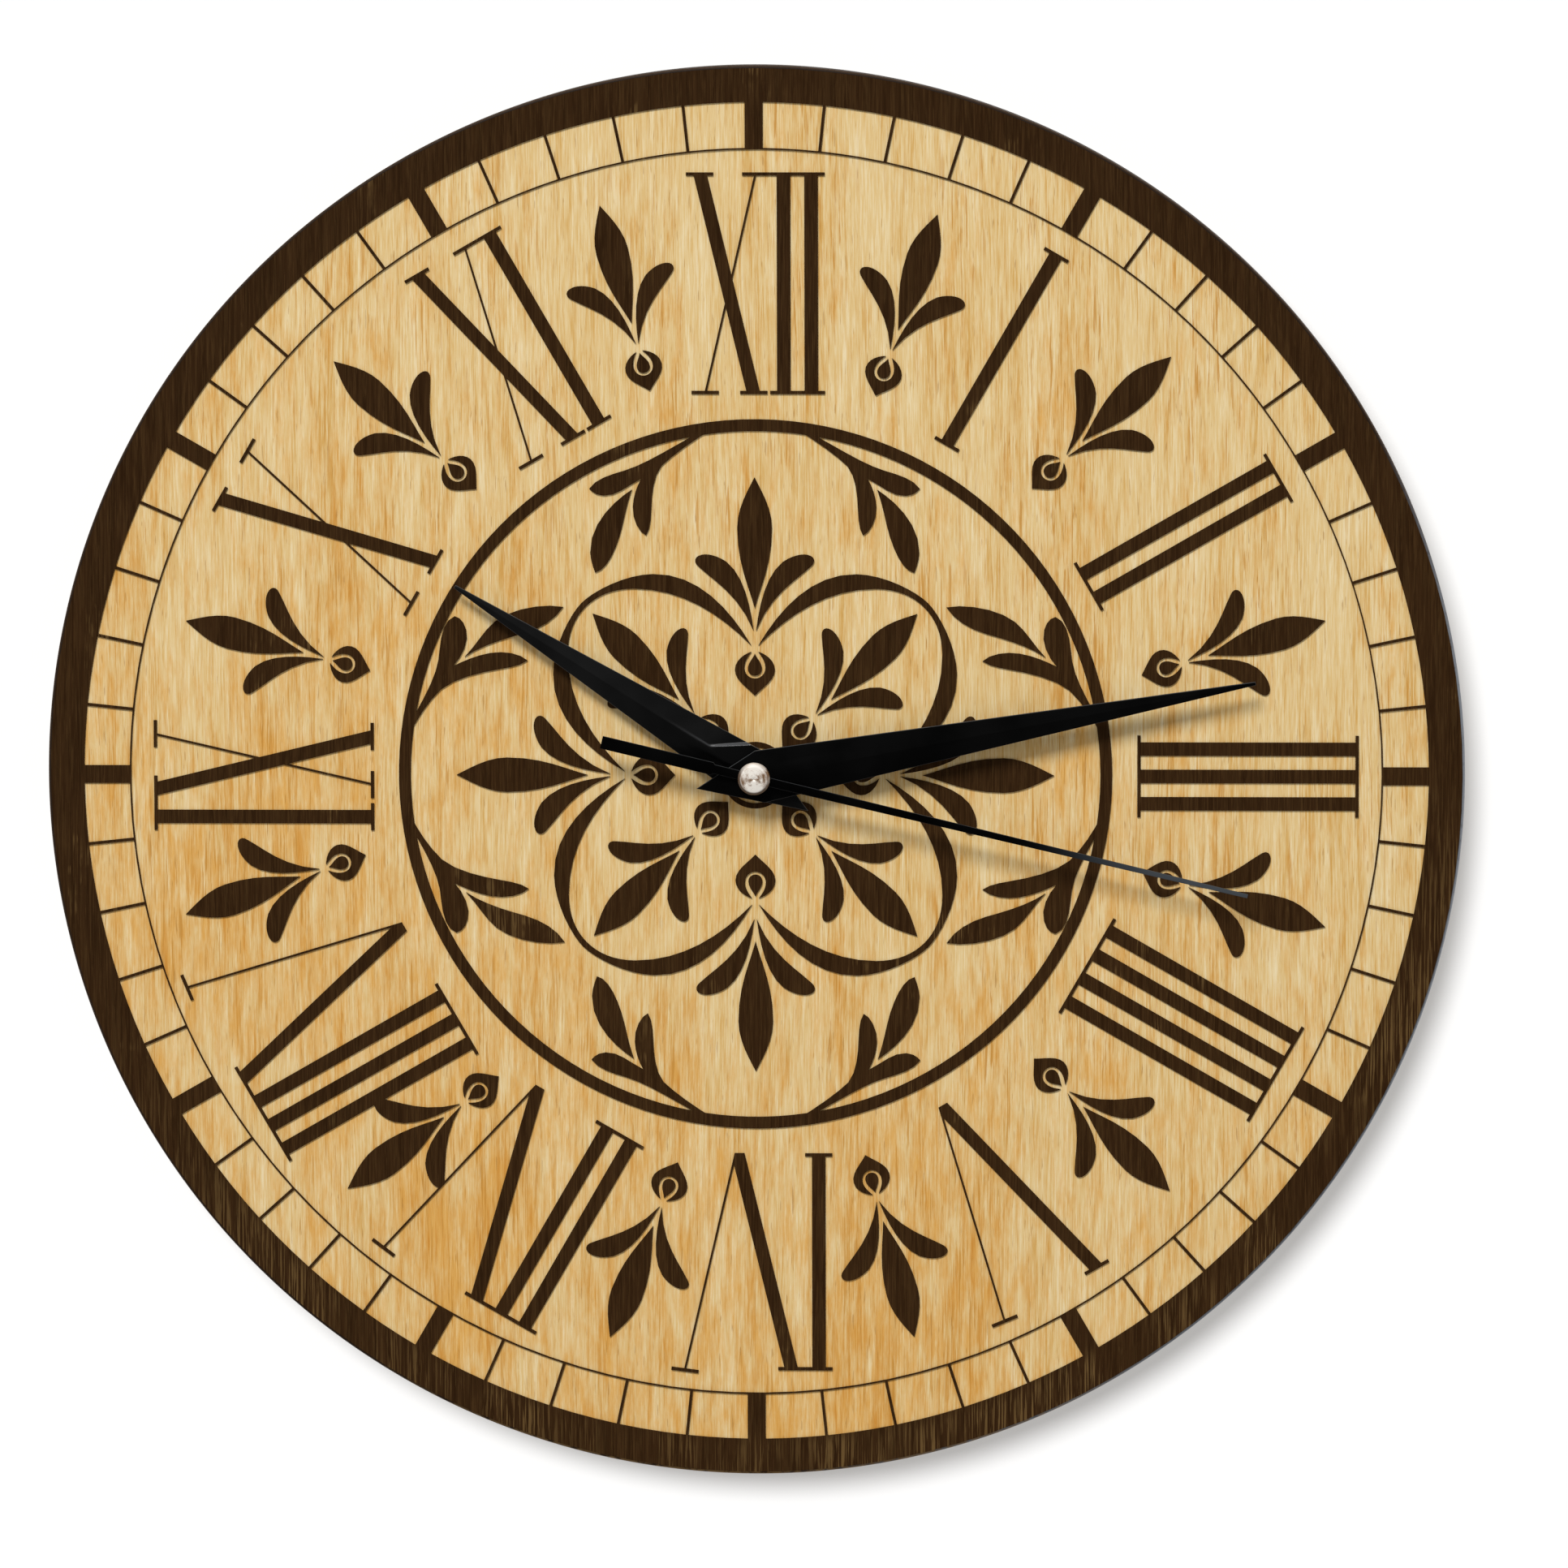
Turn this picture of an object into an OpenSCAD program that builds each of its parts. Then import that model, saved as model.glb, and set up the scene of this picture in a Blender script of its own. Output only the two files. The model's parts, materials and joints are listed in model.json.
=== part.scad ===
// Round wooden wall clock: a flat board with dark veneer figures, three hands and a quartz movement.
// The front faces -Y and +Z is up. The origin is the hanger eye, at the rear face that meets the wall.

/* [Board and dial] */
// Diameter of the round board
board_d = 300; // [240:1:400]
// Thickness of the board
board_t = 6; // [4:0.5:10]
// Bevel on the front and rear edge of the rim
rim_bevel = 0.6; // [0.2:0.1:1.5]
// Thickness of the dark veneer
veneer_t = 0.35; // [0.2:0.05:0.6]
// Inner radius of the dark border, on a 300 mm board
border_r = 142.3; // [138:0.1:146]
// Radius of the thin minute circle, on a 300 mm board
minute_r = 132.5; // [130:0.1:135]
// Width of the thin minute circle
minute_line = 0.3; // [0.2:0.05:1]
// Width of an hour bar
bar_w = 3.8; // [2:0.1:6]
// Width of a minute tick
tick_w = 0.6; // [0.4:0.05:1.5]
// Outer radius of the medallion ring
ring_r = 75.5; // [74:0.1:78]
// Width of the medallion ring
ring_w = 2.5; // [1.5:0.1:4]

/* [Numerals] */
// Radius at the outer end of the numerals
num_out = 127.5; // [124:0.1:130]
// Radius at the inner end of the numerals
num_in = 80.8; // [79:0.1:90]
// Width of a thick stroke
stroke_w = 2.85; // [2:0.05:4]
// Width of a hairline
hair_w = 0.42; // [0.3:0.02:1]
// Distance between neighbouring strokes
stroke_pitch = 5.81; // [5:0.01:7]
// Thickness of a serif
serif_t = 0.68; // [0.4:0.02:1.2]

/* [Hands] */
// Length of the hour hand from the centre
hour_len = 75; // [50:0.5:90]
// Length of the minute hand from the centre
minute_len = 107.6; // [80:0.5:125]
// Length of the second hand from the centre
second_len = 107; // [80:0.5:125]
// Half width of the hour and minute hands at the hub
hand_half = 5.6; // [4.6:0.1:8]
// Length of the hour hand's pointed tail
hour_tail = 13.4; // [8:0.1:20]
// Length of the minute hand's pointed tail
minute_tail = 12.4; // [8:0.1:20]
// Height of a hand at its fold
hand_t = 0.85; // [0.5:0.05:1.1]
// Height lost from the fold to the widest edge
fold_drop = 0.42; // [0.1:0.02:0.45]
// Length of the second hand's tail
second_tail = 33.1; // [20:0.1:45]
// Width of the second hand's tail bar
second_bar = 2.7; // [1.5:0.1:4]
// Direction of the hour hand, clockwise from the top
hour_deg = 302.5; // [0:0.1:360]
// Direction of the minute hand, clockwise from the top
minute_deg = 79.2; // [0:0.1:360]
// Direction of the second hand, clockwise from the top
second_deg = 103.4; // [0:0.1:360]
// Diameter of the turned cap
cap_d = 7; // [5:0.1:9]

/* [Movement] */
// Side of the square movement case
case_w = 56; // [56:0.5:60]
// Corner radius of the case
case_corner = 4; // [2:0.5:6]
// Wall of the case
case_wall = 1.3; // [1:0.1:1.5]
// Height of the hanger eye above the shaft
eye_h = 33; // [33:0.5:36]
// Radius of the hanger eye
eye_r = 4; // [3:0.1:4.5]
// Thickness of the hanger tab
tab_t = 2; // [1.5:0.1:3]
// Outer radius of the threaded bushing
bush_r = 3.5; // [3.3:0.05:3.6]
// Outer radius of the hour pipe
hour_pipe_r = 2.5; // [2.4:0.02:2.6]
// Outer radius of the minute pipe
minute_pipe_r = 1.75; // [1.6:0.02:1.8]
// Radius of the second arbor in the pipes
arbor_r = 0.75; // [0.65:0.01:0.8]
// Running clearance between the pipes
fit_gap = 0.05; // [0.03:0.01:0.08]
// Radius of the battery
cell_r = 7.25; // [7:0.05:7.25]
// Length of the battery with its button
cell_l = 50.5; // [49.5:0.1:50.5]
// Radius of the setting knob
knob_r = 5.5; // [4:0.1:6]
// Thickness of a tooth as a part of its pitch
tooth_f = 0.4; // [0.3:0.01:0.44]

/* [Hidden] */
$fn = 96;
// Scale of the dial figure against a 300 mm board
fig = board_d / 300;
// Depths, counted forward from the wall
d_split = 8.2;
d_front = 16.5;
washer_t = 1;
d_board = d_front + washer_t;
d_face = d_board + board_t;
d_hour = d_face + 2.8;
d_minute = d_hour + 1.85;
d_second = d_minute + 1.7;
d_end = d_second + 1.6;
// Layers of the train
lay_rotor = 5.6;
lay_second = 6.8;
lay_plate = 8;
lay_third = 9.6;
lay_centre = 10.8;
lay_motion = 12.2;
lay_hour = 13.6;
lay_bridge = 2.3;
// Teeth of the pinion and the wheel of each mesh
z_rotor = [10, 60];
z_inter = [10, 50];
z_second = [8, 60];
z_third = [8, 64];
z_minute = [16, 48];
z_hour = [12, 48];
z_set = 24;
// Distance between two arbors
function apart(z, m) = (z[0] + z[1]) * m / 2;
// Modules: two meshes that share a pair of arbors have the same distance
m_rotor = 0.22;
m_inter = 0.28;
m_second = 0.3;
m_third = m_second * apart(z_second, 1) / apart(z_third, 1);
m_minute = 0.3;
m_hour = m_minute * apart(z_minute, 1) / apart(z_hour, 1);
// Directions between the arbors, anticlockwise from +X
a_third = 20;
a_inter = 100;
a_rotor = 30;
a_motion = 192;
a_set = 120;
// Places of the arbors
function toward(a) = [cos(a), sin(a)];
p_third = apart(z_second, m_second) * toward(a_third);
p_inter = apart(z_inter, m_inter) * toward(a_inter);
p_rotor = p_inter + apart(z_rotor, m_rotor) * toward(a_rotor);
p_motion = apart(z_minute, m_minute) * toward(a_motion);
p_set = p_motion + apart([z_set, z_minute[1]], m_minute) * toward(a_set);
// Posts of the bridge, the plate, the circuit board and the coil
bridge_posts = [[-9.5, -4.5], [10.5, -5], [12.8, 9]];
plate_posts = [[-23, -6.5], [23, -6.5], [-23, 14], [23, 14]];
board_posts = [[17, -6], [17.5, 13.5]];
coil_ends = [[-12, 22.3], [13.8, 22.3]];
// Latches that hold the case halves: place along the wall and turn from the right wall
latches = [[4, 0], [4, 180], [-19, 90], [19, 90]];
latch_w = 5;
latch_d = 10.6;
latch_t = 1.6;
// Battery bay
bay_z = -18.9;
cell_d = cell_r + 0.4;
cell_x = case_w / 2 - 1.8 - cell_l;
bay_half = cell_r + 0.3;
// Hour figures: strokes from left to right, and the place of the first one
hours = [
  ["XII", -11.4], ["I", 0], ["II", -2.45], ["III", -5.7], ["IIII", -8.75], ["V", -10.15],
  ["IV", -13.3], ["IIV", -16.25], ["IIIV", -19.25], ["IX", -9], ["X", -5.85], ["XI", -8.65]
];
// Outer sprigs: direction of the bud and direction of the leaf, clockwise from the top
sprigs = [
  [17.7, 18.9], [44, 46.4], [75.2, 73.3], [104.2, 106.7], [135.6, 134.4], [164.1, 165.1],
  [191.9, 201.2], [221, 233.2], [257.9, 251.6], [285.2, 285.1], [315.7, 312], [344.9, 345]
];
sprig_r = 89.4;
// Distance between the outer ends of the two legs of a V and of an X
v_open = 22.75;
x_open = 11.82;

// Points along one curve with four controls, without its last point
function curve(a, b, c, d, n = 6) = [
  for (i = [0 : n - 1])
    let (t = i / n, s = 1 - t)
      s * s * s * a + 3 * s * s * t * b + 3 * s * t * t * c + t * t * t * d
];

// Points of one gear outline: radial flanks, rounded tips
function gear_points(n, m, f, ph) = [
  for (i = [0 : n - 1])
    let (rp = n * m / 2, h = 180 * f / n, c = ph + i * 360 / n)
      for (q = [
        [rp - 1.3 * m, -h], [rp, -h], [rp + 0.5 * m, -0.62 * h], [rp + 0.85 * m, -0.18 * h],
        [rp + 0.85 * m, 0.18 * h], [rp + 0.5 * m, 0.62 * h], [rp, h], [rp - 1.3 * m, h]
      ])
        q[0] * [cos(c + q[1]), sin(c + q[1])]
];

// Upright plate: its outline is seen from the front, d is its depth from the wall
module slab(d, t) {
  translate([0, -d, -eye_h])
    rotate([90, 0, 0])
      linear_extrude(t)
        children();
}

// Turned piece about the shaft: profile of radius and depth
module turned(d) {
  translate([0, -d, -eye_h])
    rotate([90, 0, 0])
      rotate_extrude()
        children();
}

module disc(p, r) {
  translate(p)
    circle(r);
}

module rounded(w, h, r) {
  square([w - 2 * r, h], center = true);
  square([w, h - 2 * r], center = true);
  for (x = [-1, 1], y = [-1, 1])
    translate([x * (w / 2 - r), y * (h / 2 - r)])
      circle(r);
}

// A tooth points along ph
module gear(n, m, ph, p, bore) {
  translate(p)
    difference() {
      polygon(gear_points(n, m, tooth_f, ph));
      circle(bore);
    }
}

// Wheel with a toothed rim, four round windows and a bore
module wheel(n, m, ph, p, bore) {
  r = n * m / 2;
  difference() {
    gear(n, m, ph, p, bore);
    for (a = [45 : 90 : 315])
      translate(p + 0.56 * r * toward(a))
        circle(0.23 * r);
  }
}

// Dial figures, drawn with the hour direction up

// Place across a slanted stroke: x at its outer end, k its run to the inner end, y the radius
function slant(x, k, y) = [x + k * (num_out - y) / (num_out - num_in), y];

// Serif corners under, round and back to a stroke at its outer end
function cap_out(x) = let (h = stroke_pitch / 2 - 0.03, t = num_out - serif_t)
  [[x - h, t], [x - h, num_out], [x + h, num_out], [x + h, t]];

// The same at its inner end
function cap_in(x) = let (h = stroke_pitch / 2 - 0.03, t = num_in + serif_t)
  [[x + h, t], [x + h, num_in], [x - h, num_in], [x - h, t]];

module sign_i(x) {
  w = stroke_w / 2;
  t = serif_t;
  polygon(concat(
    [[x - w, num_out - t]], cap_out(x), [[x + w, num_out - t], [x + w, num_in + t]],
    cap_in(x), [[x - w, num_in + t]]
  ));
}

module sign_v(x) {
  w = stroke_w / 2;
  h = hair_w / 2;
  t = num_out - serif_t;
  k = 11.375;
  g = -10.91;
  top = x + v_open;
  // Where the inner edges of the two legs meet
  s = (v_open - h - w) / (k - g);
  meet = num_out - s * (num_out - num_in);
  lean = 7.3;
  u = [cos(lean), -sin(lean)];
  v = [sin(lean), cos(lean)];
  c = [top, num_out];
  b = stroke_pitch / 2;
  f = serif_t / 2;
  polygon(concat(
    [slant(x - w, k, t)], cap_out(x), [slant(x + w, k, t), slant(x + w, k, meet)],
    [c - h * u - f * v, c - b * u - f * v, c - b * u + f * v],
    [c + b * u + f * v, c + b * u - f * v, c + h * u - f * v],
    [slant(top + h, g, num_in), slant(x - w, k, num_in)]
  ));
}

module sign_x(x) {
  w = stroke_w / 2;
  h = hair_w / 2;
  t = num_out - serif_t;
  e = num_in + serif_t;
  k = 11.3;
  g = -10.78;
  top = x + x_open;
  // Radius where an edge of the thick leg meets an edge of the hairline
  function cross(a, b) = num_out - (x_open + b - a) / (k - g) * (num_out - num_in);
  polygon(concat(
    [slant(x - w, k, t)], cap_out(x),
    [slant(x + w, k, t), slant(x + w, k, cross(w, -h)), slant(top - h, g, t)],
    cap_out(top), [slant(top + h, g, t), slant(x + w, k, cross(w, h)), slant(x + w, k, e)],
    cap_in(x + k), [slant(x - w, k, e), slant(x - w, k, cross(-w, h)), slant(top + h, g, e)],
    cap_in(top + g), [slant(top - h, g, e), slant(x - w, k, cross(-w, -h))]
  ));
}

function sign_step(c) = c == "X" ? x_open + stroke_pitch : stroke_pitch;

function sign_x0(s, i, x0) = i == 0 ? x0 : sign_x0(s, i - 1, x0) + sign_step(s[i - 1]);

module numeral(s, x0) {
  for (i = [0 : len(s) - 1]) {
    if (s[i] == "I") sign_i(sign_x0(s, i, x0));
    if (s[i] == "V") sign_v(sign_x0(s, i, x0));
    if (s[i] == "X") sign_x(sign_x0(s, i, x0));
  }
}

function backward(o) = [for (i = [len(o) - 1 : -1 : 0]) o[i]];

// Outline turned over to the side of sx and sy, each 1 or -1
function flipped(o, sx, sy) =
  let (q = [for (p = o) [sx * p[0], sy * p[1]]])
    sx * sy > 0 ? q : backward(q);

// Outline of a form with two equal sides, from the curve of its right side
module both_sides(right) {
  n = len(right);
  polygon(concat(right, [for (i = [n - 1 : -1 : 1]) [-right[i][0], right[i][1]]]));
}

// Heart-shaped bud with a light drop ring, its point down
module bud() {
  difference() {
    both_sides(concat(
      curve([0, -4.97], [1.7, -3.2], [3.92, -1.9], [3.92, 0.1]),
      curve([3.92, 0.1], [3.92, 2], [2, 3.3], [0.5, 3.7]),
      [[0.5, 3.7], [0, 3.7]]
    ));
    both_sides(concat(
      curve([0, -1.62], [1.1, -1.62], [2.05, -0.75], [2.05, 0.5]),
      curve([2.05, 0.5], [2.05, 1.9], [1.2, 2.9], [0.42, 4]),
      [[0.42, 4], [0, 4]]
    ));
  }
  both_sides(concat(
    curve([0, -1.04], [0.75, -1.04], [1.38, -0.5], [1.38, 0.3]),
    curve([1.38, 0.3], [1.38, 1.5], [0.45, 2.2], [0, 3.25]),
    [[0, 3.25]]
  ));
}

// Pointed leaf and two rounded petals, above the bud
module blades() {
  both_sides(concat(
    curve([0, 9.7], [1.2, 14.1], [3.4, 18.4], [3.4, 25.5]),
    curve([3.4, 25.5], [3.4, 29.4], [1.3, 32.8], [0, 35.4]),
    [[0, 35.4]]
  ));
  petal = concat(
    curve([0.25, 5.3], [3.2, 12.6], [8.2, 15.2], [11, 17.9]),
    curve([11, 17.9], [12, 18.7], [11.9, 19.9], [10.3, 20.2]),
    curve([10.3, 20.2], [9.2, 20.4], [7.4, 20.1], [5.5, 18.8]),
    curve([5.5, 18.8], [2.2, 16.2], [0.9, 10.5], [0.25, 5.3])
  );
  polygon(petal);
  polygon(flipped(petal, -1, 1));
}

// One lobe of the quatrefoil ribbon between two fleurons, one half mirrored about the diagonal
module ribbon() {
  outer = concat(
    curve([0.75, 27.6], [5.2, 35.2], [12, 42.9], [21.5, 42.7], 8),
    curve([21.5, 42.7], [27.5, 42.6], [34.2, 39], [36.6, 36.6], 8)
  );
  inner = concat(
    curve([0.75, 27.6], [7.5, 34.4], [15.5, 39.6], [25.5, 39.6], 8),
    curve([25.5, 39.6], [30.2, 39.6], [33.5, 38], [35.75, 35.75], 8)
  );
  n = len(outer);
  polygon(concat(
    outer,
    [[36.6, 36.6]],
    [for (i = [n - 1 : -1 : 0]) [outer[i][1], outer[i][0]]],
    [for (i = [1 : n - 1]) [inner[i][1], inner[i][0]]],
    [[35.75, 35.75]],
    [for (i = [n - 1 : -1 : 1]) inner[i]]
  ));
}

// Leaf spray on the medallion ring beside the upper fleuron
module spray_up(sx, sy) {
  fork = concat(
    curve([8.4, 73.7], [13, 71], [17.6, 67.6], [19.6, 65.6], 4),
    curve([19.6, 65.6], [21.4, 63.4], [21.7, 59.5], [21.8, 56.5], 4),
    curve([21.8, 56.5], [21.9, 54], [22.1, 52], [22.9, 50.9], 3),
    curve([22.9, 50.9], [24.3, 51.4], [25.9, 54.2], [25.7, 57], 4),
    curve([25.7, 57], [25.6, 59.2], [24.9, 61.2], [23.9, 62.9], 4),
    curve([23.9, 62.9], [27.2, 61.2], [29, 59.2], [31.9, 59.3], 4),
    curve([31.9, 59.3], [33.6, 59.4], [34.4, 60.2], [34.9, 60.8], 3),
    curve([34.9, 60.8], [33.6, 62.8], [30.6, 63.7], [27.5, 64.6], 4),
    curve([27.5, 64.6], [23.5, 65.8], [19, 68.6], [12.05, 72.5], 5),
    [[12.05, 72.5], [11, 74]]
  );
  leaf = concat(
    curve([25.9, 60.6], [29, 58.6], [34.9, 53.8], [34.75, 47.2]),
    curve([34.75, 47.2], [34.7, 45.8], [34.2, 44.2], [33.7, 43], 3),
    curve([33.7, 43], [31.6, 43.4], [29.8, 46.6], [28.5, 50.8], 5),
    curve([28.5, 50.8], [27.6, 53.7], [27.2, 57], [25.9, 60.6], 4)
  );
  polygon(flipped(fork, sx, sy));
  polygon(flipped(leaf, sx, sy));
}

// Leaf spray on the medallion ring beside the right fleuron
module spray_side(sx, sy) {
  fork = concat(
    [[74.2, 6.8]],
    curve([73, 9], [71.4, 12], [69.5, 15.2], [66.5, 18.1], 4),
    curve([66.5, 18.1], [63.5, 20.6], [58, 21.8], [53.9, 22.5], 4),
    curve([53.9, 22.5], [51.5, 22.9], [49.4, 23.3], [48.1, 24.3], 3),
    curve([48.1, 24.3], [49.6, 25.8], [53, 26.4], [56, 25.9], 4),
    curve([56, 25.9], [59, 25.4], [61.6, 24.2], [63.9, 23.1], 4),
    curve([63.9, 23.1], [61.8, 25.2], [60.4, 28.6], [61.1, 30.9], 4),
    curve([61.1, 30.9], [61.5, 32.5], [62.4, 33.5], [63.5, 33.7], 3),
    curve([63.5, 33.7], [65.6, 33], [66.4, 30], [66.7, 26.8], 4),
    curve([66.7, 26.8], [67, 22.5], [68.2, 19.6], [72.4, 12.2], 5),
    [[72.4, 12.2], [74, 9.4]]
  );
  leaf = concat(
    curve([61.4, 25.1], [58, 27.4], [53.5, 28.8], [48.8, 30.1], 5),
    curve([48.8, 30.1], [45.2, 31.2], [42.2, 33], [40.5, 35.7], 4),
    curve([40.5, 35.7], [44.5, 36.5], [51.5, 35.4], [55, 32.6], 5),
    curve([55, 32.6], [57.6, 30.4], [58.8, 27.8], [61.4, 25.1], 4)
  );
  polygon(flipped(backward(fork), sx, sy));
  polygon(flipped(backward(leaf), sx, sy));
}

module veneer() {
  color("#3a2617")
    slab(d_face, veneer_t)
      scale([fig, fig])
        children();
}

// Board and veneer pieces

module dial_board() {
  r = board_d / 2;
  b = rim_bevel;
  color("#dbb87c")
    turned(d_board)
      polygon([
        [bush_r + 0.1, 0], [r - b, 0], [r, b], [r, board_t - b], [r - b, board_t], [bush_r + 0.1, board_t]
      ]);
}

module chapter_ring() {
  veneer() {
    difference() {
      circle(150 - rim_bevel / fig);
      circle(border_r);
    }
    difference() {
      circle(minute_r + minute_line / 2);
      circle(minute_r - minute_line / 2);
    }
    for (i = [0 : 59])
      rotate(-6 * i)
        translate([i % 5 == 0 ? -bar_w / 2 : -tick_w / 2, minute_r])
          square([i % 5 == 0 ? bar_w : tick_w, border_r - minute_r + 1]);
  }
}

module figure(k) {
  rotate(-30 * k)
    numeral(hours[k][0], hours[k][1]);
}

module hour_numerals() {
  veneer()
    for (k = [0 : 11])
      figure(k);
}

module sprig(q) {
  translate(sprig_r * [sin(q[0]), cos(q[0])])
    rotate(-q[1]) {
      bud();
      blades();
    }
}

// The sprig between the seven and the eight ends at their strokes
module outer_sprigs() {
  veneer() {
    for (k = [0 : 11])
      if (k != 7) sprig(sprigs[k]);
    difference() {
      sprig(sprigs[7]);
      figure(7);
      figure(8);
    }
  }
}

module medallion() {
  veneer() {
    difference() {
      circle(ring_r);
      circle(ring_r - ring_w);
    }
    for (sx = [-1, 1], sy = [-1, 1]) {
      spray_up(sx, sy);
      spray_side(sx, sy);
    }
  }
}

module rosette() {
  veneer() {
    for (a = [0 : 90 : 270])
      rotate(a) {
        translate([0, 22.3])
          scale([1.08, 1.08])
            bud();
        translate([0, 25])
          scale([1.08, 1.08])
            blades();
        ribbon();
        rotate(45)
          translate([0, 13.1]) {
            bud();
            blades();
          }
      }
    difference() {
      circle(7.1);
      circle(6);
    }
  }
}

// Hands

// Folded hand: a roof along the blade and a flat hub with a pointed front edge
module folded_hand(l, tail, deg, d, bore, boss_r, boss_t) {
  w = hand_half;
  tip = 0.35;
  kite = [[0, -tail], [w, 1.2], [tip, l], [-tip, l], [-w, 1.2]];
  translate([0, -d, -eye_h])
    rotate([0, deg, 0])
      rotate([90, 0, 0])
        difference() {
          union() {
            intersection() {
              linear_extrude(hand_t)
                polygon(kite);
              translate([0, l + 1, 0])
                rotate([90, 0, 0])
                  linear_extrude(l + tail + 2)
                    polygon([[-w - 1, -0.1], [w + 1, -0.1], [w + 1, hand_t - fold_drop * (w + 1) / w],
                      [0, hand_t], [-w - 1, hand_t - fold_drop * (w + 1) / w]]);
            }
            linear_extrude(hand_t)
              polygon([[0, -tail], [w, 1.2], [w * (1 - 3.8 / l), 5], [0, 12.8],
                [-w * (1 - 3.8 / l), 5], [-w, 1.2]]);
            translate([0, 0, -boss_t])
              cylinder(r = boss_r, h = boss_t + 0.2);
          }
          translate([0, 0, -boss_t - 1])
            cylinder(r = bore, h = boss_t + hand_t + 2);
        }
}

module hour_hand() {
  color("#151515")
    folded_hand(hour_len, hour_tail, hour_deg, d_hour, hour_pipe_r, 3.3, 0.8);
}

module minute_hand() {
  color("#151515")
    folded_hand(minute_len, minute_tail, minute_deg, d_minute, minute_pipe_r, 2.6, 0.6);
}

module second_hand() {
  b = second_bar / 2;
  color("#101010")
    translate([0, -d_second, -eye_h])
      rotate([0, second_deg, 0])
        rotate([90, 0, 0])
          difference() {
            union() {
              linear_extrude(0.5) {
                polygon([[-0.85, 0], [-0.45, second_len], [0.45, second_len], [0.85, 0]]);
                polygon([[-0.95, 0], [0.95, 0], [0.95, -8.7], [b, -9.1], [b, -second_tail],
                  [-b, -second_tail], [-b, -9.1], [-0.95, -8.7]]);
                circle(2.4);
              }
              translate([0, 0, -0.45])
                cylinder(r = 1.4, h = 0.6);
            }
            translate([0, 0, -2])
              cylinder(r = arbor_r, h = 4);
          }
}

module hand_cap() {
  r = cap_d / 2;
  color("#d9d6d0")
    turned(d_second + 0.5)
      polygon([[arbor_r, 0], [r, 0], [r, 0.5], [r - 0.25, 0.9], [r - 0.75, 1.25], [r - 0.9, 1.3],
        [r - 1.6, 1.42], [0.9, 1.5], [0, 1.5], [0, 1.1], [arbor_r, 1.1]]);
}

// Fixing of the movement

module ring_nut() {
  color("#c9a24a")
    difference() {
      turned(d_face)
        polygon([[bush_r + 0.02, 0], [4.6, 0], [4.6, 1.2], [4.3, 1.5], [bush_r + 0.02, 1.5]]);
      slab(d_face + 0.9, 2)
        for (a = [20, 110])
          rotate(a)
            square([12, 1.1], center = true);
    }
}

module bushing() {
  r = bush_r;
  l = d_face + 1.8 - 15;
  color("#c9a24a")
    turned(15)
      polygon(concat(
        [[hour_pipe_r + fit_gap, 0], [5, 0], [5, 0.8], [r - 0.3, 0.8]],
        [for (i = [0 : 9]) for (q = [[r - 0.3, 0.1], [r, 0.3], [r, 0.45], [r - 0.3, 0.65]])
          [q[0], l - 8 + i * 0.75 + q[1]]],
        [[r - 0.3, l - 0.3], [r - 0.5, l], [hour_pipe_r + fit_gap, l]]
      ));
}

module rubber_washer() {
  color("#222222")
    turned(d_front)
      polygon([[bush_r + 0.1, 0], [9, 0], [9, washer_t], [bush_r + 0.1, washer_t]]);
}

// Movement case

module case_outline(inset) {
  rounded(case_w - 2 * inset, case_w - 2 * inset, case_corner - inset);
}

module partition() {
  w = case_w / 2 - case_wall;
  translate([1.2 - w, bay_z + bay_half])
    square([2 * w - 2.7, 1.1]);
}

// Plate of the given depth at each latch: x counts outward to the case wall, w is its width
module at_latches(d, t, x0, x1, w) {
  slab(d, t)
    for (q = latches)
      rotate(q[1])
        translate([x0, (q[1] == 180 ? -q[0] : q[0]) - w / 2])
          square([x1 - x0, w]);
}

module front_case() {
  color("#1b1b1d")
    difference() {
      union() {
        difference() {
          slab(d_split, d_front - d_split)
            case_outline(0);
          slab(d_split - 0.2, 7)
            case_outline(case_wall);
        }
        slab(d_split, 7)
          partition();
        slab(12, 3.2)
          disc(p_motion, 0.8);
        slab(13.9, 1.3)
          disc(p_third, 1.5);
        slab(13.7, 1.5)
          disc(p_set, 2);
        slab(9.2, 6)
          for (p = plate_posts)
            disc(p, 2);
        slab(5.8, 9.4)
          for (p = coil_ends)
            disc(p, 2);
      }
      slab(14, 4)
        circle(bush_r);
      slab(14, 1.8)
        circle(5);
      slab(13, 2.2)
        disc(p_third, 0.45);
      slab(13, 2.2)
        disc(p_set, 1.05);
      slab(5, 4.5)
        for (p = coil_ends)
          disc(p, 0.7);
      at_latches(latch_d - 0.2, latch_t + 0.4, case_w / 2 - 2, case_w / 2 + 1, latch_w + 0.4);
    }
}

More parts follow.
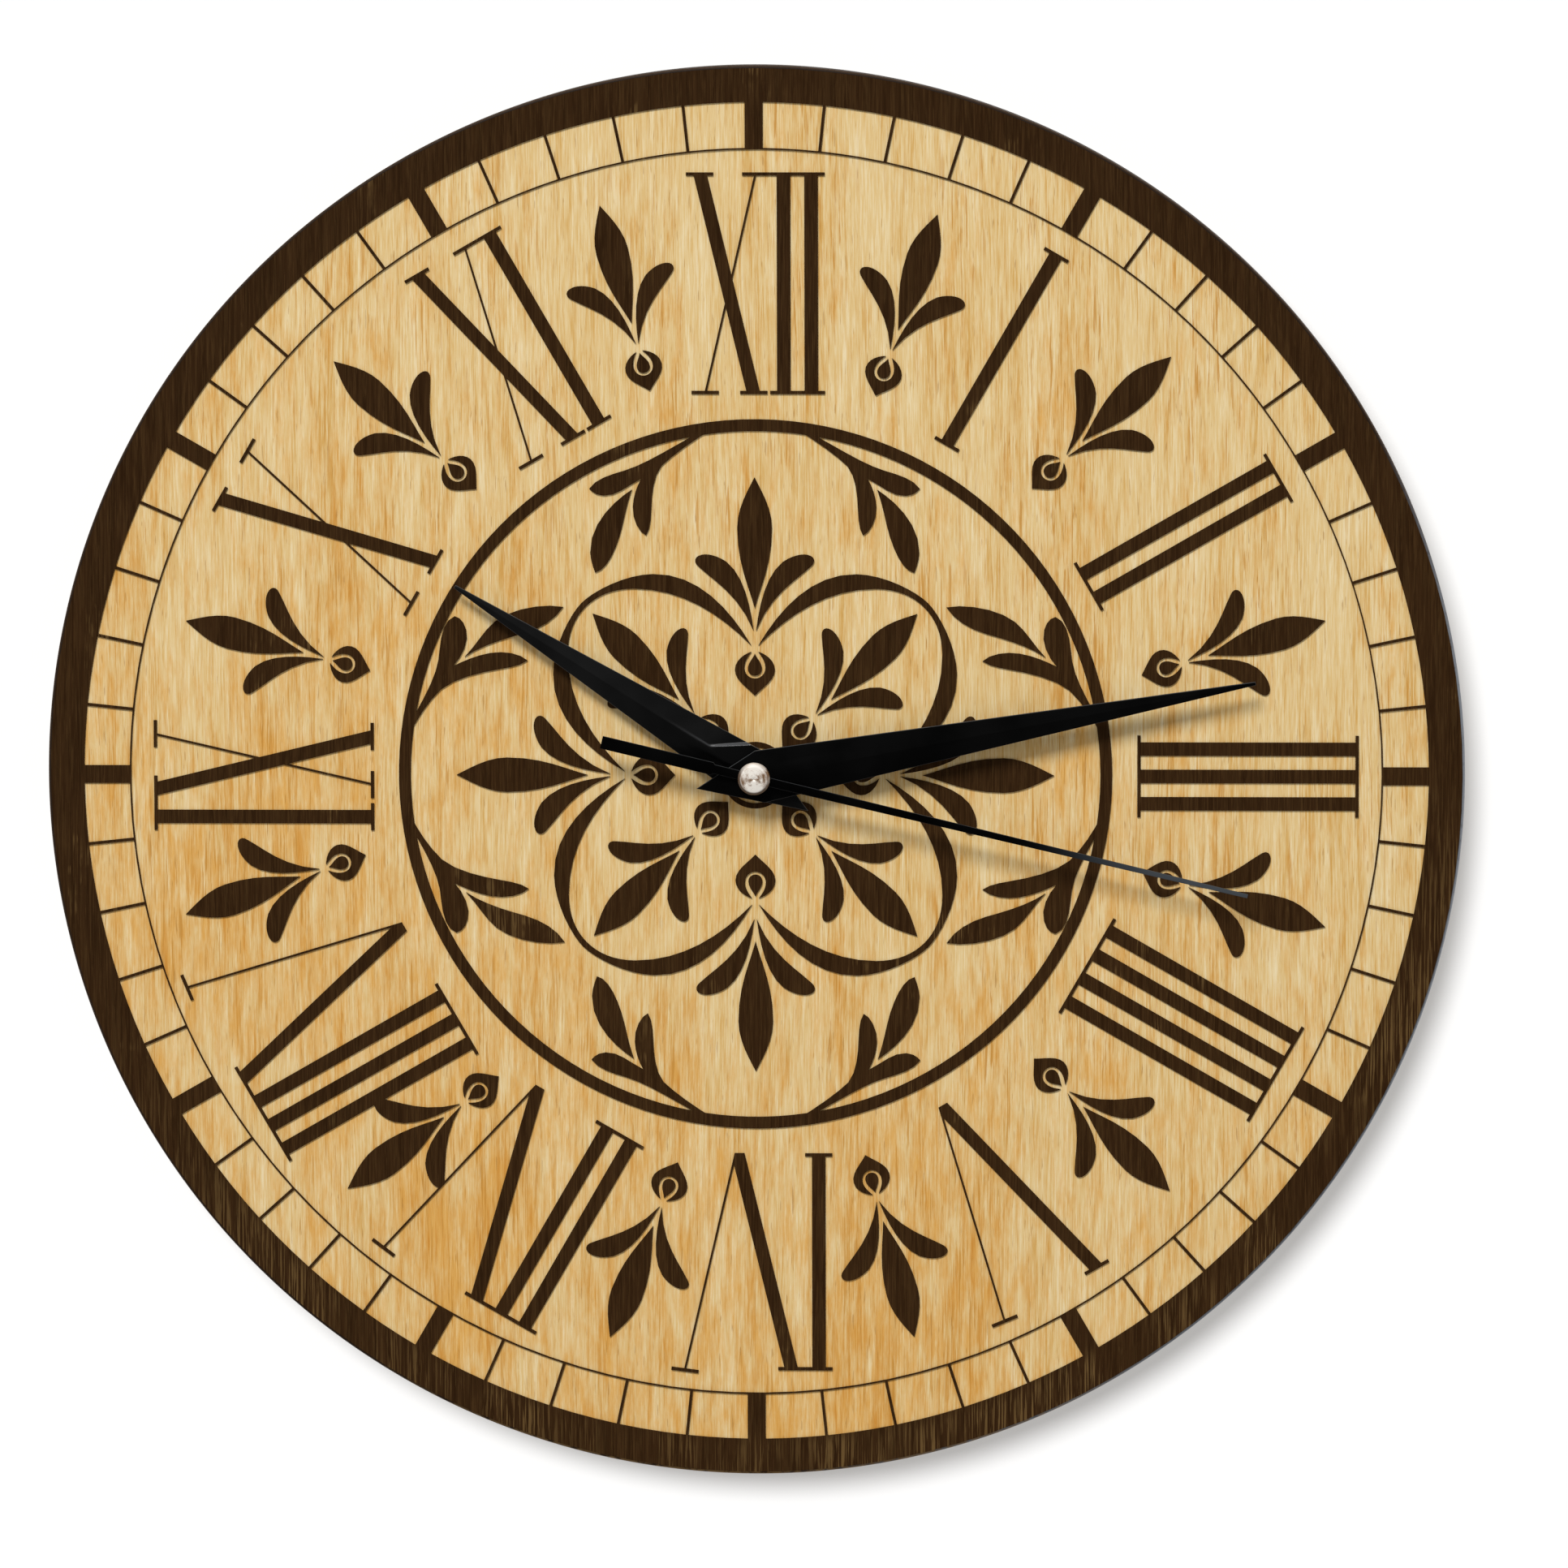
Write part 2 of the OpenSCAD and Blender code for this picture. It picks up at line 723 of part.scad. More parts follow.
module rear_case() {
  bay_w = case_w - 2 * case_wall;
  inner = case_w / 2 - case_wall;
  notch_r = 9;
  color("#1b1b1d")
    difference() {
      union() {
        difference() {
          slab(0, d_split)
            case_outline(0);
          slab(1.5, 7)
            case_outline(case_wall);
          slab(-1, 4)
            translate([-bay_w / 2, bay_z - bay_half])
              square([bay_w, 2 * bay_half]);
        }
        slab(0.2, d_split - 0.2)
          partition();
        slab(0.5, 3.7)
          disc(p_set, knob_r + 2.7);
        slab(0, tab_t) {
          disc([0, eye_h], eye_r + 4);
          translate([-eye_r - 4, case_w / 2 - 1])
            square([2 * eye_r + 8, eye_h - case_w / 2 + 1]);
        }
        slab(0, 3.2)
          for (x = [-6.6, 6.6])
            translate([x - 0.6, case_w / 2 - 0.5])
              square([1.2, 6]);
        at_latches(6, d_split - 6, inner - 0.9, inner + 0.5, latch_w);
        at_latches(d_split - 0.2, latch_d + latch_t - d_split + 0.2, inner - 0.9, inner - 0.1, latch_w);
        at_latches(latch_d, latch_t, inner - 0.9, case_w / 2 - 0.2, latch_w);
      }
      translate([0, 4, -eye_h - case_w / 2 - 1])
        cylinder(r = notch_r, h = case_wall + 1.5);
      slab(-1, 4)
        disc(p_set, knob_r + 1.5);
      slab(-1, 8)
        disc(p_set, 1.3);
      slab(-1, 6)
        disc([0, eye_h], eye_r);
    }
}

// Plates and posts

module mid_plate() {
  color("#e8e6df") {
    difference() {
      union() {
        slab(lay_plate, 1.2)
          difference() {
            translate([0, 3.6])
              rounded(51, 26.4, 2);
            circle(1.8);
            disc(p_inter, 0.45);
            disc(p_rotor, 0.35);
            disc(p_third, 0.45);
            disc(p_set, 1.3);
            for (p = plate_posts)
              disc(p, 0.8);
          }
        slab(lay_bridge + 0.8, lay_plate - lay_bridge - 0.7)
          for (p = bridge_posts)
            disc(p, 1.5);
        slab(5.8, 2.3)
          for (p = board_posts)
            disc(p, 1.2);
        slab(4.8, 3.3)
          for (p = [[-6.5, 15.8], [11.6, 15]])
            disc(p, 1);
      }
      slab(lay_bridge, 4)
        for (p = bridge_posts)
          disc(p, 0.7);
    }
  }
}

module train_bridge() {
  color("#e8e6df")
    slab(lay_bridge, 0.8)
      difference() {
        polygon([
          [-12, -7], [13, -7.5], [15.2, 8.5], [14, 11], [8, 15.2], [3.5, 15],
          [-4.2, 11], [-5, 5], [-12, -2.4]
        ]);
        circle(0.45);
        disc(p_inter, 0.45);
        disc(p_rotor, 0.35);
        for (p = bridge_posts)
          disc(p, 0.7);
      }
}

module screw(p, d) {
  slab(d - 0.6, 0.6)
    difference() {
      disc(p, 1.4);
      translate(p)
        square([2, 0.4], center = true);
    }
  slab(d - 0.1, 3.6)
    disc(p, 0.7);
}

module train_screws() {
  color("#b9bcc0") {
    for (p = bridge_posts)
      screw(p, lay_bridge);
    for (p = coil_ends)
      screw(p, 3.8);
  }
}

// Motion work

module hour_wheel() {
  color("#f0eee6") {
    slab(lay_hour, 1)
      wheel(z_hour[1], m_hour, a_motion + 180 / z_hour[1], [0, 0], minute_pipe_r + fit_gap);
    slab(lay_hour, d_hour + 1.1 - lay_hour)
      difference() {
        circle(hour_pipe_r);
        circle(minute_pipe_r + fit_gap);
      }
  }
}

module motion_wheel() {
  color("#f0eee6") {
    slab(lay_motion, 1)
      wheel(z_minute[1], m_minute, a_motion + 180, p_motion, 0.85);
    slab(lay_hour, 1)
      gear(z_hour[0], m_hour, a_motion + 180, p_motion, 0.85);
    slab(lay_motion, lay_hour - lay_motion + 0.2)
      difference() {
        disc(p_motion, 1.45);
        disc(p_motion, 0.85);
      }
  }
}

module minute_pipe() {
  color("#f0eee6") {
    slab(lay_motion, 1)
      gear(z_minute[0], m_minute, a_motion + 180 / z_minute[0], [0, 0], arbor_r + fit_gap);
    slab(lay_centre - 0.2, d_minute + 1.1 - lay_centre + 0.2)
      difference() {
        circle(minute_pipe_r);
        circle(arbor_r + fit_gap);
      }
  }
}

// Going train

module centre_wheel() {
  color("#f0eee6")
    slab(lay_centre, 1)
      wheel(z_third[1], m_third, a_third + 180 / z_third[1], [0, 0], minute_pipe_r + 0.03);
}

module third_wheel() {
  color("#f0eee6") {
    slab(lay_third, 0.8)
      wheel(z_second[1], m_second, a_third + 180 + 180 / z_second[1], p_third, 0.3);
    slab(lay_centre, 1)
      gear(z_third[0], m_third, a_third + 180, p_third, 0.3);
    slab(lay_third - 0.3, 4.5)
      disc(p_third, 0.6);
    slab(lay_plate + 0.2, 6.7)
      disc(p_third, 0.4);
  }
}

module second_arbor() {
  color("#b9bcc0")
    turned(lay_bridge + 0.1)
      polygon([[0, 0], [0.4, 0], [0.4, 1], [0.55, 1], [0.55, 8.1], [arbor_r, 8.1],
        [arbor_r, d_end - lay_bridge - 0.1], [0, d_end - lay_bridge - 0.1]]);
}

module second_wheel() {
  color("#f0eee6") {
    slab(lay_second, 0.8)
      wheel(z_inter[1], m_inter, a_inter + 180 / z_inter[1], [0, 0], 0.55);
    slab(lay_third, 0.8)
      gear(z_second[0], m_second, a_third, [0, 0], 0.55);
    slab(lay_second - 0.4, lay_third - lay_second)
      difference() {
        circle(1.4);
        circle(0.55);
      }
    slab(lay_second, lay_third - lay_second + 0.2)
      difference() {
        circle(0.78);
        circle(0.55);
      }
  }
}

module intermediate_wheel() {
  color("#f0eee6") {
    slab(lay_rotor, 0.8)
      wheel(z_rotor[1], m_rotor, a_rotor + 180 / z_rotor[1], p_inter, 0.3);
    slab(lay_second, 0.8)
      gear(z_inter[0], m_inter, a_inter + 180, p_inter, 0.3);
    slab(3.3, 4.5)
      disc(p_inter, 0.7);
    slab(lay_bridge + 0.1, 6.5)
      disc(p_inter, 0.4);
  }
}

module rotor() {
  color("#f0eee6") {
    slab(lay_rotor, 0.8)
      gear(z_rotor[0], m_rotor, a_rotor + 180, p_rotor, 0.2);
    slab(3.3, 2.4)
      disc(p_rotor, 1.2);
    slab(lay_rotor, 2.2)
      disc(p_rotor, 0.5);
    slab(lay_bridge + 0.1, 6.4)
      disc(p_rotor, 0.3);
  }
}

module rotor_magnet() {
  color("#4a4c50")
    slab(3.4, 1.8)
      difference() {
        disc(p_rotor, 2.4);
        disc(p_rotor, 1.2);
      }
}

// Motor and circuit

module stator() {
  color("#8d9196")
    slab(3.8, 1)
      difference() {
        union() {
          polygon([
            [-14.5, 24.8], [-14.5, 18.5], [-8, 14.2], [1, 13.2], [8, 9], [13.5, 13.5],
            [16, 18.5], [16, 24.8], [11.6, 24.8], [11.6, 18.4], [8.5, 17.3], [1.5, 17.3],
            [-6, 17.8], [-9.6, 18.4], [-9.6, 24.8]
          ]);
          disc(p_rotor, 5.2);
        }
        disc(p_rotor, 3);
        for (a = [70, 250])
          disc(p_rotor + 3 * toward(a), 0.35);
        for (p = coil_ends)
          disc(p, 0.7);
      }
}

module coil_core() {
  color("#8d9196")
    slab(4.8, 1)
      difference() {
        translate([-14.2, 20.3])
          square([30, 4]);
        for (p = coil_ends)
          disc(p, 0.7);
      }
}

// Middle of the coil along X, and its place
module on_coil() {
  translate([1, -5.3, 22.3 - eye_h])
    children();
}

module bobbin() {
  color("#2e2e30")
    on_coil()
      difference() {
        union() {
          cube([20, 2.4, 5.4], center = true);
          for (x = [-9.7, 9.7])
            translate([x, 0, 0])
              cube([0.8, 6.8, 7], center = true);
        }
        cube([30, 1, 4], center = true);
      }
}

module winding() {
  color("#b4632d")
    on_coil()
      rotate([0, 90, 0])
        translate([0, 0, -9.3])
          linear_extrude(18.6)
            difference() {
              rounded(6.6, 6, 2);
              square([5.4, 2.4], center = true);
            }
}

module circuit_board() {
  color("#2f6a3d")
    slab(5, 0.8)
      translate([15.2, -8.5])
        square([10.8, 24.5]);
}

module chip() {
  color("#141414")
    translate([20.6, -5, 4 - eye_h])
      rotate([-90, 0, 0])
        rotate_extrude()
          polygon([[0, 0], [3, 0], [2.9, 0.35], [2.4, 0.75], [1.4, 1], [0, 1.1]]);
}

module crystal() {
  color("#c8cacd") {
    translate([23.2, -4, 8 - eye_h])
      cylinder(r = 1, h = 6);
    for (x = [-0.4, 0.4])
      translate([23.2 + x, -4.4, 5.6 - eye_h])
        cylinder(r = 0.2, h = 2.6);
  }
}

// Battery and contacts

module contact_plus() {
  x = case_w / 2 - case_wall - 0.4;
  color("#cfd2d6") {
    translate([x, -11.5, bay_z - 4 - eye_h])
      cube([0.4, 8, 8]);
    translate([x, -7.4, bay_z - eye_h])
      cube([0.4, 1.5, 12.5]);
    translate([x - 2.4, -6.2, bay_z + 10.9 - eye_h])
      cube([2.8, 0.4, 1.6]);
  }
}

module contact_minus() {
  x = -case_w / 2 + case_wall;
  b = cell_x - 0.06;
  color("#cfd2d6") {
    translate([0, 0, bay_z - 3 - eye_h])
      linear_extrude(6)
        polygon([
          [x, -3], [x + 0.4, -3], [b, -6.9], [b, -8.4], [x + 0.4, -12.3], [x, -12.3],
          [x, -11.7], [b - 0.45, -8.1], [b - 0.45, -7.2], [x, -3.6]
        ]);
    translate([x, -12.3, bay_z - 3 - eye_h])
      cube([0.4, 9.3, 6]);
    translate([x, -7.4, bay_z - eye_h])
      cube([0.4, 1.4, bay_half + 1.6]);
    translate([x, -7.4, bay_z + bay_half + 1.2 - eye_h])
      cube([43.9, 1.4, 0.4]);
    translate([x + 42.3, -6.2, bay_z + bay_half + 1.2 - eye_h])
      cube([1.6, 0.4, 2.5]);
  }
}

module along_cell(x) {
  translate([cell_x + x, -cell_d, bay_z - eye_h])
    rotate([0, 90, 0])
      children();
}

module battery_can() {
  r = cell_r - 0.2;
  color("#c8cacd")
    along_cell(0)
      rotate_extrude()
        polygon([[0, 0], [5.2, 0], [r - 0.4, 0.2], [r, 0.6], [r, cell_l - 2], [r - 0.6, cell_l - 1.5],
          [2.75, cell_l - 1.3], [2.75, cell_l - 0.2], [2.5, cell_l], [0, cell_l]]);
}

module battery_jacket() {
  r = cell_r - 0.2;
  color("#2d4f7c")
    along_cell(0.8)
      rotate_extrude()
        polygon([[r, 0], [cell_r, 0.1], [cell_r, cell_l - 3], [r, cell_l - 2.9]]);
}

// Setting knob with its shaft and gear
module setting_knob() {
  // The motion wheel's teeth counted to the mesh, and the turn that puts a gap there
  fm = (a_set - a_motion - 180) * z_minute[1] / 360;
  ph = a_set + 180 - 360 / z_set * (0.5 - (fm - floor(fm)));
  color("#e8e6df") {
    slab(0.3, 2.4)
      difference() {
        disc(p_set, knob_r);
        for (a = [0 : 20 : 340])
          disc(p_set + (knob_r + 0.35) * toward(a), 0.7);
      }
    slab(2.5, lay_motion - 2)
      disc(p_set, 1.22);
    slab(lay_motion, 1)
      gear(z_set, m_minute, ph, p_set, 0.5);
    slab(lay_motion, 2.6)
      disc(p_set, 1);
  }
}

dial_board();
chapter_ring();
hour_numerals();
outer_sprigs();
medallion();
rosette();
hour_hand();
minute_hand();
second_hand();
hand_cap();
ring_nut();
bushing();
rubber_washer();
front_case();
rear_case();
mid_plate();
train_bridge();
train_screws();
hour_wheel();
motion_wheel();
minute_pipe();
centre_wheel();
third_wheel();
second_arbor();
second_wheel();
intermediate_wheel();
rotor();
rotor_magnet();
stator();
coil_core();
bobbin();
winding();
circuit_board();
chip();
crystal();
contact_plus();
contact_minus();
battery_can();
battery_jacket();
setting_knob();
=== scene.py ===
import json
import math

import bmesh
import bpy
import numpy as np
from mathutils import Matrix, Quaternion, Vector


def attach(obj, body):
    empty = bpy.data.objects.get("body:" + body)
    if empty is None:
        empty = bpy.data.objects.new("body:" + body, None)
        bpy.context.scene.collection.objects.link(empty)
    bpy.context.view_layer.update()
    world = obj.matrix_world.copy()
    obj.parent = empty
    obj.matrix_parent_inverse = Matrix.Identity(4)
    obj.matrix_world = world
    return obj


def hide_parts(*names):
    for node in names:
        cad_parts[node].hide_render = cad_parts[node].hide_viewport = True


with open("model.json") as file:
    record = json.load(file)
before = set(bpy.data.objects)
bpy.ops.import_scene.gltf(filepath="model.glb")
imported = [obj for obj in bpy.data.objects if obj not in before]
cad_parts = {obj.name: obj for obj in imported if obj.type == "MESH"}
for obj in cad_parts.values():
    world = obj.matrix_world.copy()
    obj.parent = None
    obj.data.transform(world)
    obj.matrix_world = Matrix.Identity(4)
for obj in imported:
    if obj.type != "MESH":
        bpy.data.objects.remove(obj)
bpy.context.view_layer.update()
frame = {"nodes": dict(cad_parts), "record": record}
nodes = frame["nodes"]
print("frame loaded:", len(nodes), "nodes")

mm = 0.001
dial = {"centre": (0, 0, -33 * mm), "radius": 149.95 * mm, "face": 23.5 * mm, "back": 17.5 * mm}


def tone(red, green, blue):
    # a screen colour, 0 to 255, as the linear colour that the shaders take
    share = np.array([red, green, blue]) / 255
    line = np.where(share <= 0.04045, share / 12.92, ((share + 0.055) / 1.055) ** 2.4)
    return (*[float(c) for c in line], 1.0)


class Wire:
    # one output socket; arithmetic on wires adds Math nodes
    def __init__(self, tree, socket):
        self.tree, self.socket = tree, socket

    def node(self, kind, settings=None, sockets=None, out=0):
        # any node: its type, its settings, then the values or links of its sockets
        made = self.tree.nodes.new(kind)
        for key, value in (settings or {}).items():
            setattr(made, key, value)
        for key, value in (sockets or {}).items():
            if isinstance(value, Wire):
                self.tree.links.new(value.socket, made.inputs[key])
            else:
                made.inputs[key].default_value = value
        return Wire(self.tree, made.outputs[out])

    def calc(self, operation, first, second=0.0):
        return self.node("ShaderNodeMath", {"operation": operation}, {0: first, 1: second})

    def __add__(self, other):
        return self.calc("ADD", self, other)

    def __radd__(self, other):
        return self.calc("ADD", other, self)

    def __sub__(self, other):
        return self.calc("SUBTRACT", self, other)

    def __rsub__(self, other):
        return self.calc("SUBTRACT", other, self)

    def __mul__(self, other):
        return self.calc("MULTIPLY", self, other)

    def __rmul__(self, other):
        return self.calc("MULTIPLY", other, self)

    def __truediv__(self, other):
        return self.calc("DIVIDE", self, other)

    def __pow__(self, other):
        return self.calc("POWER", self, other)

    def biggest(self, other):
        return self.calc("MAXIMUM", self, other)

    def wave(self):
        return self.calc("SINE", self)

    def ramp(self, low, high, start=0.0, end=1.0):
        # smooth step of this value from low to high
        return self.node(
            "ShaderNodeMapRange",
            {"interpolation_type": "SMOOTHSTEP"},
            {"Value": self, "From Min": low, "From Max": high, "To Min": start, "To Max": end},
        )

    def tint(self, first, second):
        # from the first colour to the second as this value goes from 0 to 1
        return self.node("ShaderNodeMix", {"data_type": "RGBA"}, {0: self, 6: first, 7: second}, 2)

    def glaze(self, base, stain):
        # the base colour seen through a clear stain that is as strong as this value
        kind = {"data_type": "RGBA", "blend_type": "MULTIPLY"}
        return self.node("ShaderNodeMix", kind, {0: self, 6: base, 7: stain}, 2)

    def stretch(self, across, through, along):
        # this vector scaled on its three axes
        return self.node(
            "ShaderNodeVectorMath", {"operation": "MULTIPLY"}, {0: self, 1: (across, through, along)}
        )

    def shift(self, other):
        return self.node("ShaderNodeVectorMath", {"operation": "ADD"}, {0: self, 1: other})

    def noise(self, scale, detail=2.0, rough=0.5):
        return self.node(
            "ShaderNodeTexNoise", {}, {"Vector": self, "Scale": scale, "Detail": detail, "Roughness": rough}
        )

    def axes(self, names="XYZ"):
        # this vector's parts along the named axes
        return [self.node("ShaderNodeSeparateXYZ", {}, {0: self}, name) for name in names]

    def vector(self, x, y, z):
        return self.node("ShaderNodeCombineXYZ", {}, {0: x, 1: y, 2: z})

    def bump(self, strength, distance):
        return self.node(
            "ShaderNodeBump", {}, {"Strength": strength, "Distance": distance, "Height": self}
        )


class Finish:
    # one material: a Principled shader and the object's own coordinates
    def __init__(self, name, **fixed):
        self.material = bpy.data.materials.new(name)
        self.material.use_nodes = True
        tree = self.material.node_tree
        self.shader = tree.nodes["Principled BSDF"]
        for key, value in fixed.items():
            self.shader.inputs[key.replace("_", " ")].default_value = value
        self.point = Wire(tree, tree.nodes.new("ShaderNodeTexCoord").outputs["Object"])

    def facing(self):
        # the way that the surface faces
        return self.point.node("ShaderNodeNewGeometry", out="Normal")

    def wear(self, **varying):
        for key, value in varying.items():
            plug = self.shader.inputs[key.replace("_", " ")]
            self.shader.id_data.links.new(value.socket, plug)
        return self.material


def fromDial(point):
    # the dial's centre as the zero of the pattern
    return point.shift(tuple(-c for c in dial["centre"]))


def fromShaft(x, z):
    # distance from the shaft
    return (x * x + z * z) ** 0.5


# layers of upright grain: how fine each is across, through and along, then its detail and roughness
grainLayers = {
    "zones": ((55, 40, 15), 3.0, 0.6),
    "tints": ((420, 200, 85), 4.0, 0.68),
    "bands": ((150, 60, 12), 3.0, 0.55),
    "streaks": ((900, 300, 40), 3.0, 0.65),
    "fibres": ((3000, 900, 115), 3.0, 0.68),
    "dashes": ((2300, 500, 70), 3.0, 0.6),
    "pores": ((2300, 900, 150), 2.0, 0.5),
}
# the sway of the lines: how fine it is and how wide; planks of other seeds lie apart along a slanting line
grainSway = {"fine": (14, 14, 3.5), "wide": 6 * mm, "apart": (1.0, 0.7, 1.3)}


def grain(place, seed, names=tuple(grainLayers)):
    # upright wood whose lines sway slowly from side to side; another seed is another plank
    start = place.shift(tuple(seed * c for c in grainSway["apart"]))
    sway = start.stretch(*grainSway["fine"]).noise(1.0, 2.0)
    x, y, z = start.axes()
    lines = start.vector(x + grainSway["wide"] * (sway - 0.5), y, z)
    layers = {}
    for name in names:
        fineness, detail, rough = grainLayers[name]
        layers[name] = lines.stretch(*fineness).noise(1.0, detail, rough)
    return layers


def addUp(layer, shares):
    # layers of grain added up, each times its share
    return sum(share * layer[name] for name, share in shares.items())


paleWood = {
    "light": tone(233, 214, 172),
    "middle": tone(225, 199, 147),
    "dark": tone(212, 172, 103),
    "stain": (0.925, 0.68, 0.355, 1),
    "shade": (0.945, 0.87, 0.725, 1),
    "dash": tone(193, 137, 58),
    "pore": tone(164, 114, 48),
    # shares of the grain's layers in how light, how red and how high the wood is
    "lightness": {"streaks": 0.42, "fibres": 0.33, "bands": 0.25},
    "redness": {"tints": 0.58, "zones": 0.42},
    "relief": {"fibres": 0.6, "streaks": 0.4},
    # values of the grain between which each colour comes in
    "toMiddle": (0.37, 0.51), "toLight": (0.49, 0.64), "toShade": (0.38, 0.64),
    "toStain": (0.43, 0.69), "toDash": (0.58, 0.64), "toPore": (0.65, 0.7),
    # dashes are stronger in some zones; pores are half clear, and sunk
    "dashZones": (0.4, 0.62, 0.2, 0.85), "poreShare": 0.5, "poreSunk": 0.5, "sunkAt": (0.6, 0.75),
    # how much redder it gets in a metre to the left and in a metre downwards
    "redder": (0.29, 0.45),
    "seed": 0.37, "sheen": 0.1, "rough": (0.3, 0.7, 0.62, 0.5), "bump": (0.35, 0.12 * mm),
}


def makePaleWood():
    finish = Finish("pale_wood", Specular_IOR_Level=paleWood["sheen"])
    place = fromDial(finish.point)
    layer = grain(place, paleWood["seed"])
    x, z = place.axes("XZ")
    mix = addUp(layer, paleWood["lightness"])
    colour = mix.ramp(*paleWood["toMiddle"]).tint(paleWood["dark"], paleWood["middle"])
    colour = mix.ramp(*paleWood["toLight"]).tint(colour, paleWood["light"])
    colour = layer["fibres"].ramp(*paleWood["toShade"], 1.0, 0.0).glaze(colour, paleWood["shade"])
    # the wood is yellower at the upper right and redder at the lower left
    left, down = paleWood["redder"]
    red = addUp(layer, paleWood["redness"]) - left * x - down * z
    colour = red.ramp(*paleWood["toStain"]).glaze(colour, paleWood["stain"])
    dashes = layer["zones"].ramp(*paleWood["dashZones"]) * layer["dashes"].ramp(*paleWood["toDash"])
    colour = dashes.tint(colour, paleWood["dash"])
    pores = paleWood["poreShare"] * layer["pores"].ramp(*paleWood["toPore"])
    colour = pores.tint(colour, paleWood["pore"])
    sunk = paleWood["poreSunk"] * layer["pores"].ramp(*paleWood["sunkAt"])
    side = fromShaft(x, z).ramp(*boardEdge["starts"])
    return finish.wear(
        Base_Color=side.tint(colour, edgeColour(place)),
        Roughness=layer["fibres"].ramp(*paleWood["rough"]),
        Normal=(addUp(layer, paleWood["relief"]) - sunk).bump(*paleWood["bump"]),
    )


boardEdge = {
    "stain": tone(58, 42, 28),
    "line": tone(36, 25, 17),
    # the arris colour is a painted grey highlight on the front arris
    "arris": tone(128, 132, 138),
    "bareArris": tone(134, 104, 64),
    "starts": (149.0 * mm, 149.3 * mm), "ply": 1.5 * mm, "plyLine": (0.2, 0.9),
    # how fine the specks are that break up the lines of the plies, and the share of the lines
    "speck": (600, 2400, 600), "plyShare": 0.6, "toLine": (0.3, 0.8),
    # how far from the face the arris starts and is whole
    "arrisDeep": (0.75 * mm, 0.45 * mm),
    # where the arris's painted grey highlight sets in, to the lower right, and where its bare wear sets in,
    # downwards from the shaft
    "lowerRight": (0.87, 0.5), "highlightAt": (75 * mm, 125 * mm), "bareBelow": (120 * mm, 147 * mm),
    # how much of it each speck lets show
    "highlightSpeck": (0.2, 0.45, 0.5, 1.0), "bareSpeck": (0.35, 0.55), "bareShare": 0.8,
}


def edgeColour(place):
    # the cut edge of the board: stained plies
    x, y, z = place.axes()
    ply = (y * (2 * math.pi / boardEdge["ply"])).wave().ramp(*boardEdge["plyLine"])
    speck = place.stretch(*boardEdge["speck"]).noise(1.0, 2.0)
    lines = boardEdge["plyShare"] * ply + (1 - boardEdge["plyShare"]) * speck
    edge = lines.ramp(*boardEdge["toLine"]).tint(boardEdge["stain"], boardEdge["line"])
    # the front arris: a painted grey highlight at the lower right, worn bare at the bottom
    front = (0 - y).ramp(*[dial["face"] - deep for deep in boardEdge["arrisDeep"]])
    right, down = boardEdge["lowerRight"]
    # painted highlight, broken up by the specks
    greyed = (right * x - down * z).ramp(*boardEdge["highlightAt"]) * speck.ramp(*boardEdge["highlightSpeck"])
    bare = (0 - z).ramp(*boardEdge["bareBelow"]) * speck.ramp(*boardEdge["bareSpeck"])
    edge = (front * greyed).tint(edge, boardEdge["arris"])
    return (boardEdge["bareShare"] * front * bare).tint(edge, boardEdge["bareArris"])


veneer = {
    "dark": tone(41, 23, 5),
    "middle": tone(52, 32, 12),
    "light": tone(64, 43, 20),
    "worn": tone(104, 80, 46),
    # values of the grain between which each colour comes in
    "toMiddle": (0.35, 0.65), "toLight": (0.48, 0.66), "lightShare": 0.8,
    # the worn border: its distance from the shaft, and how far below the shaft the wear sets in, on a slant
    "border": (140.5 * mm, 145 * mm), "below": (5 * mm, 115 * mm), "slant": 0.25,
    # scratches, their patches along the border and their spots elsewhere: how fine each is, and its values
    "scratches": (2600, 300, 60), "toScratch": (0.52, 0.57),
    "patches": (75, 75, 26), "toPatch": (0.38, 0.58),
    "spots": (62, 62, 40), "toSpot": (0.6, 0.7), "spotsFrom": (0.4, 0, 0.2),
    # how worn the scratches are all over, along the border and in the spots
    "wear": (0.07, 0.78, 0.6),
    "relief": {"fibres": 1.0, "streaks": 0.5},
    "seed": 0.81, "sheen": 0.05, "rough": (0.3, 0.7, 0.7, 0.58), "bump": (0.3, 0.08 * mm),
}


def makeDarkVeneer():
    finish = Finish("dark_veneer", Specular_IOR_Level=veneer["sheen"])
    place = fromDial(finish.point)
    layer = grain(place, veneer["seed"], ("streaks", "fibres"))
    colour = layer["streaks"].ramp(*veneer["toMiddle"]).tint(veneer["dark"], veneer["middle"])
    lighter = veneer["lightShare"] * layer["fibres"].ramp(*veneer["toLight"])
    colour = lighter.tint(colour, veneer["light"])
    # pale wood shows through along the lower border and in a few scratches elsewhere
    x, z = place.axes("XZ")
    border = fromShaft(x, z).ramp(*veneer["border"])
    low = (veneer["slant"] * x - z).ramp(*veneer["below"])
    scratch = place.stretch(*veneer["scratches"]).noise(1.0, 3.0, 0.6).ramp(*veneer["toScratch"])
    patch = place.stretch(*veneer["patches"]).noise(1.0, 3.0, 0.6).ramp(*veneer["toPatch"])
    spotPlace = place.shift(veneer["spotsFrom"]).stretch(*veneer["spots"])
    spot = spotPlace.noise(1.0, 4.0, 0.65).ramp(*veneer["toSpot"])
    allOver, alongBorder, inSpots = veneer["wear"]
    worn = scratch * (allOver + alongBorder * border * low * patch).biggest(inSpots * spot)
    return finish.wear(
        Base_Color=worn.tint(colour, veneer["worn"]),
        Roughness=layer["fibres"].ramp(*veneer["rough"]),
        Normal=addUp(layer, veneer["relief"]).bump(*veneer["bump"]),
    )


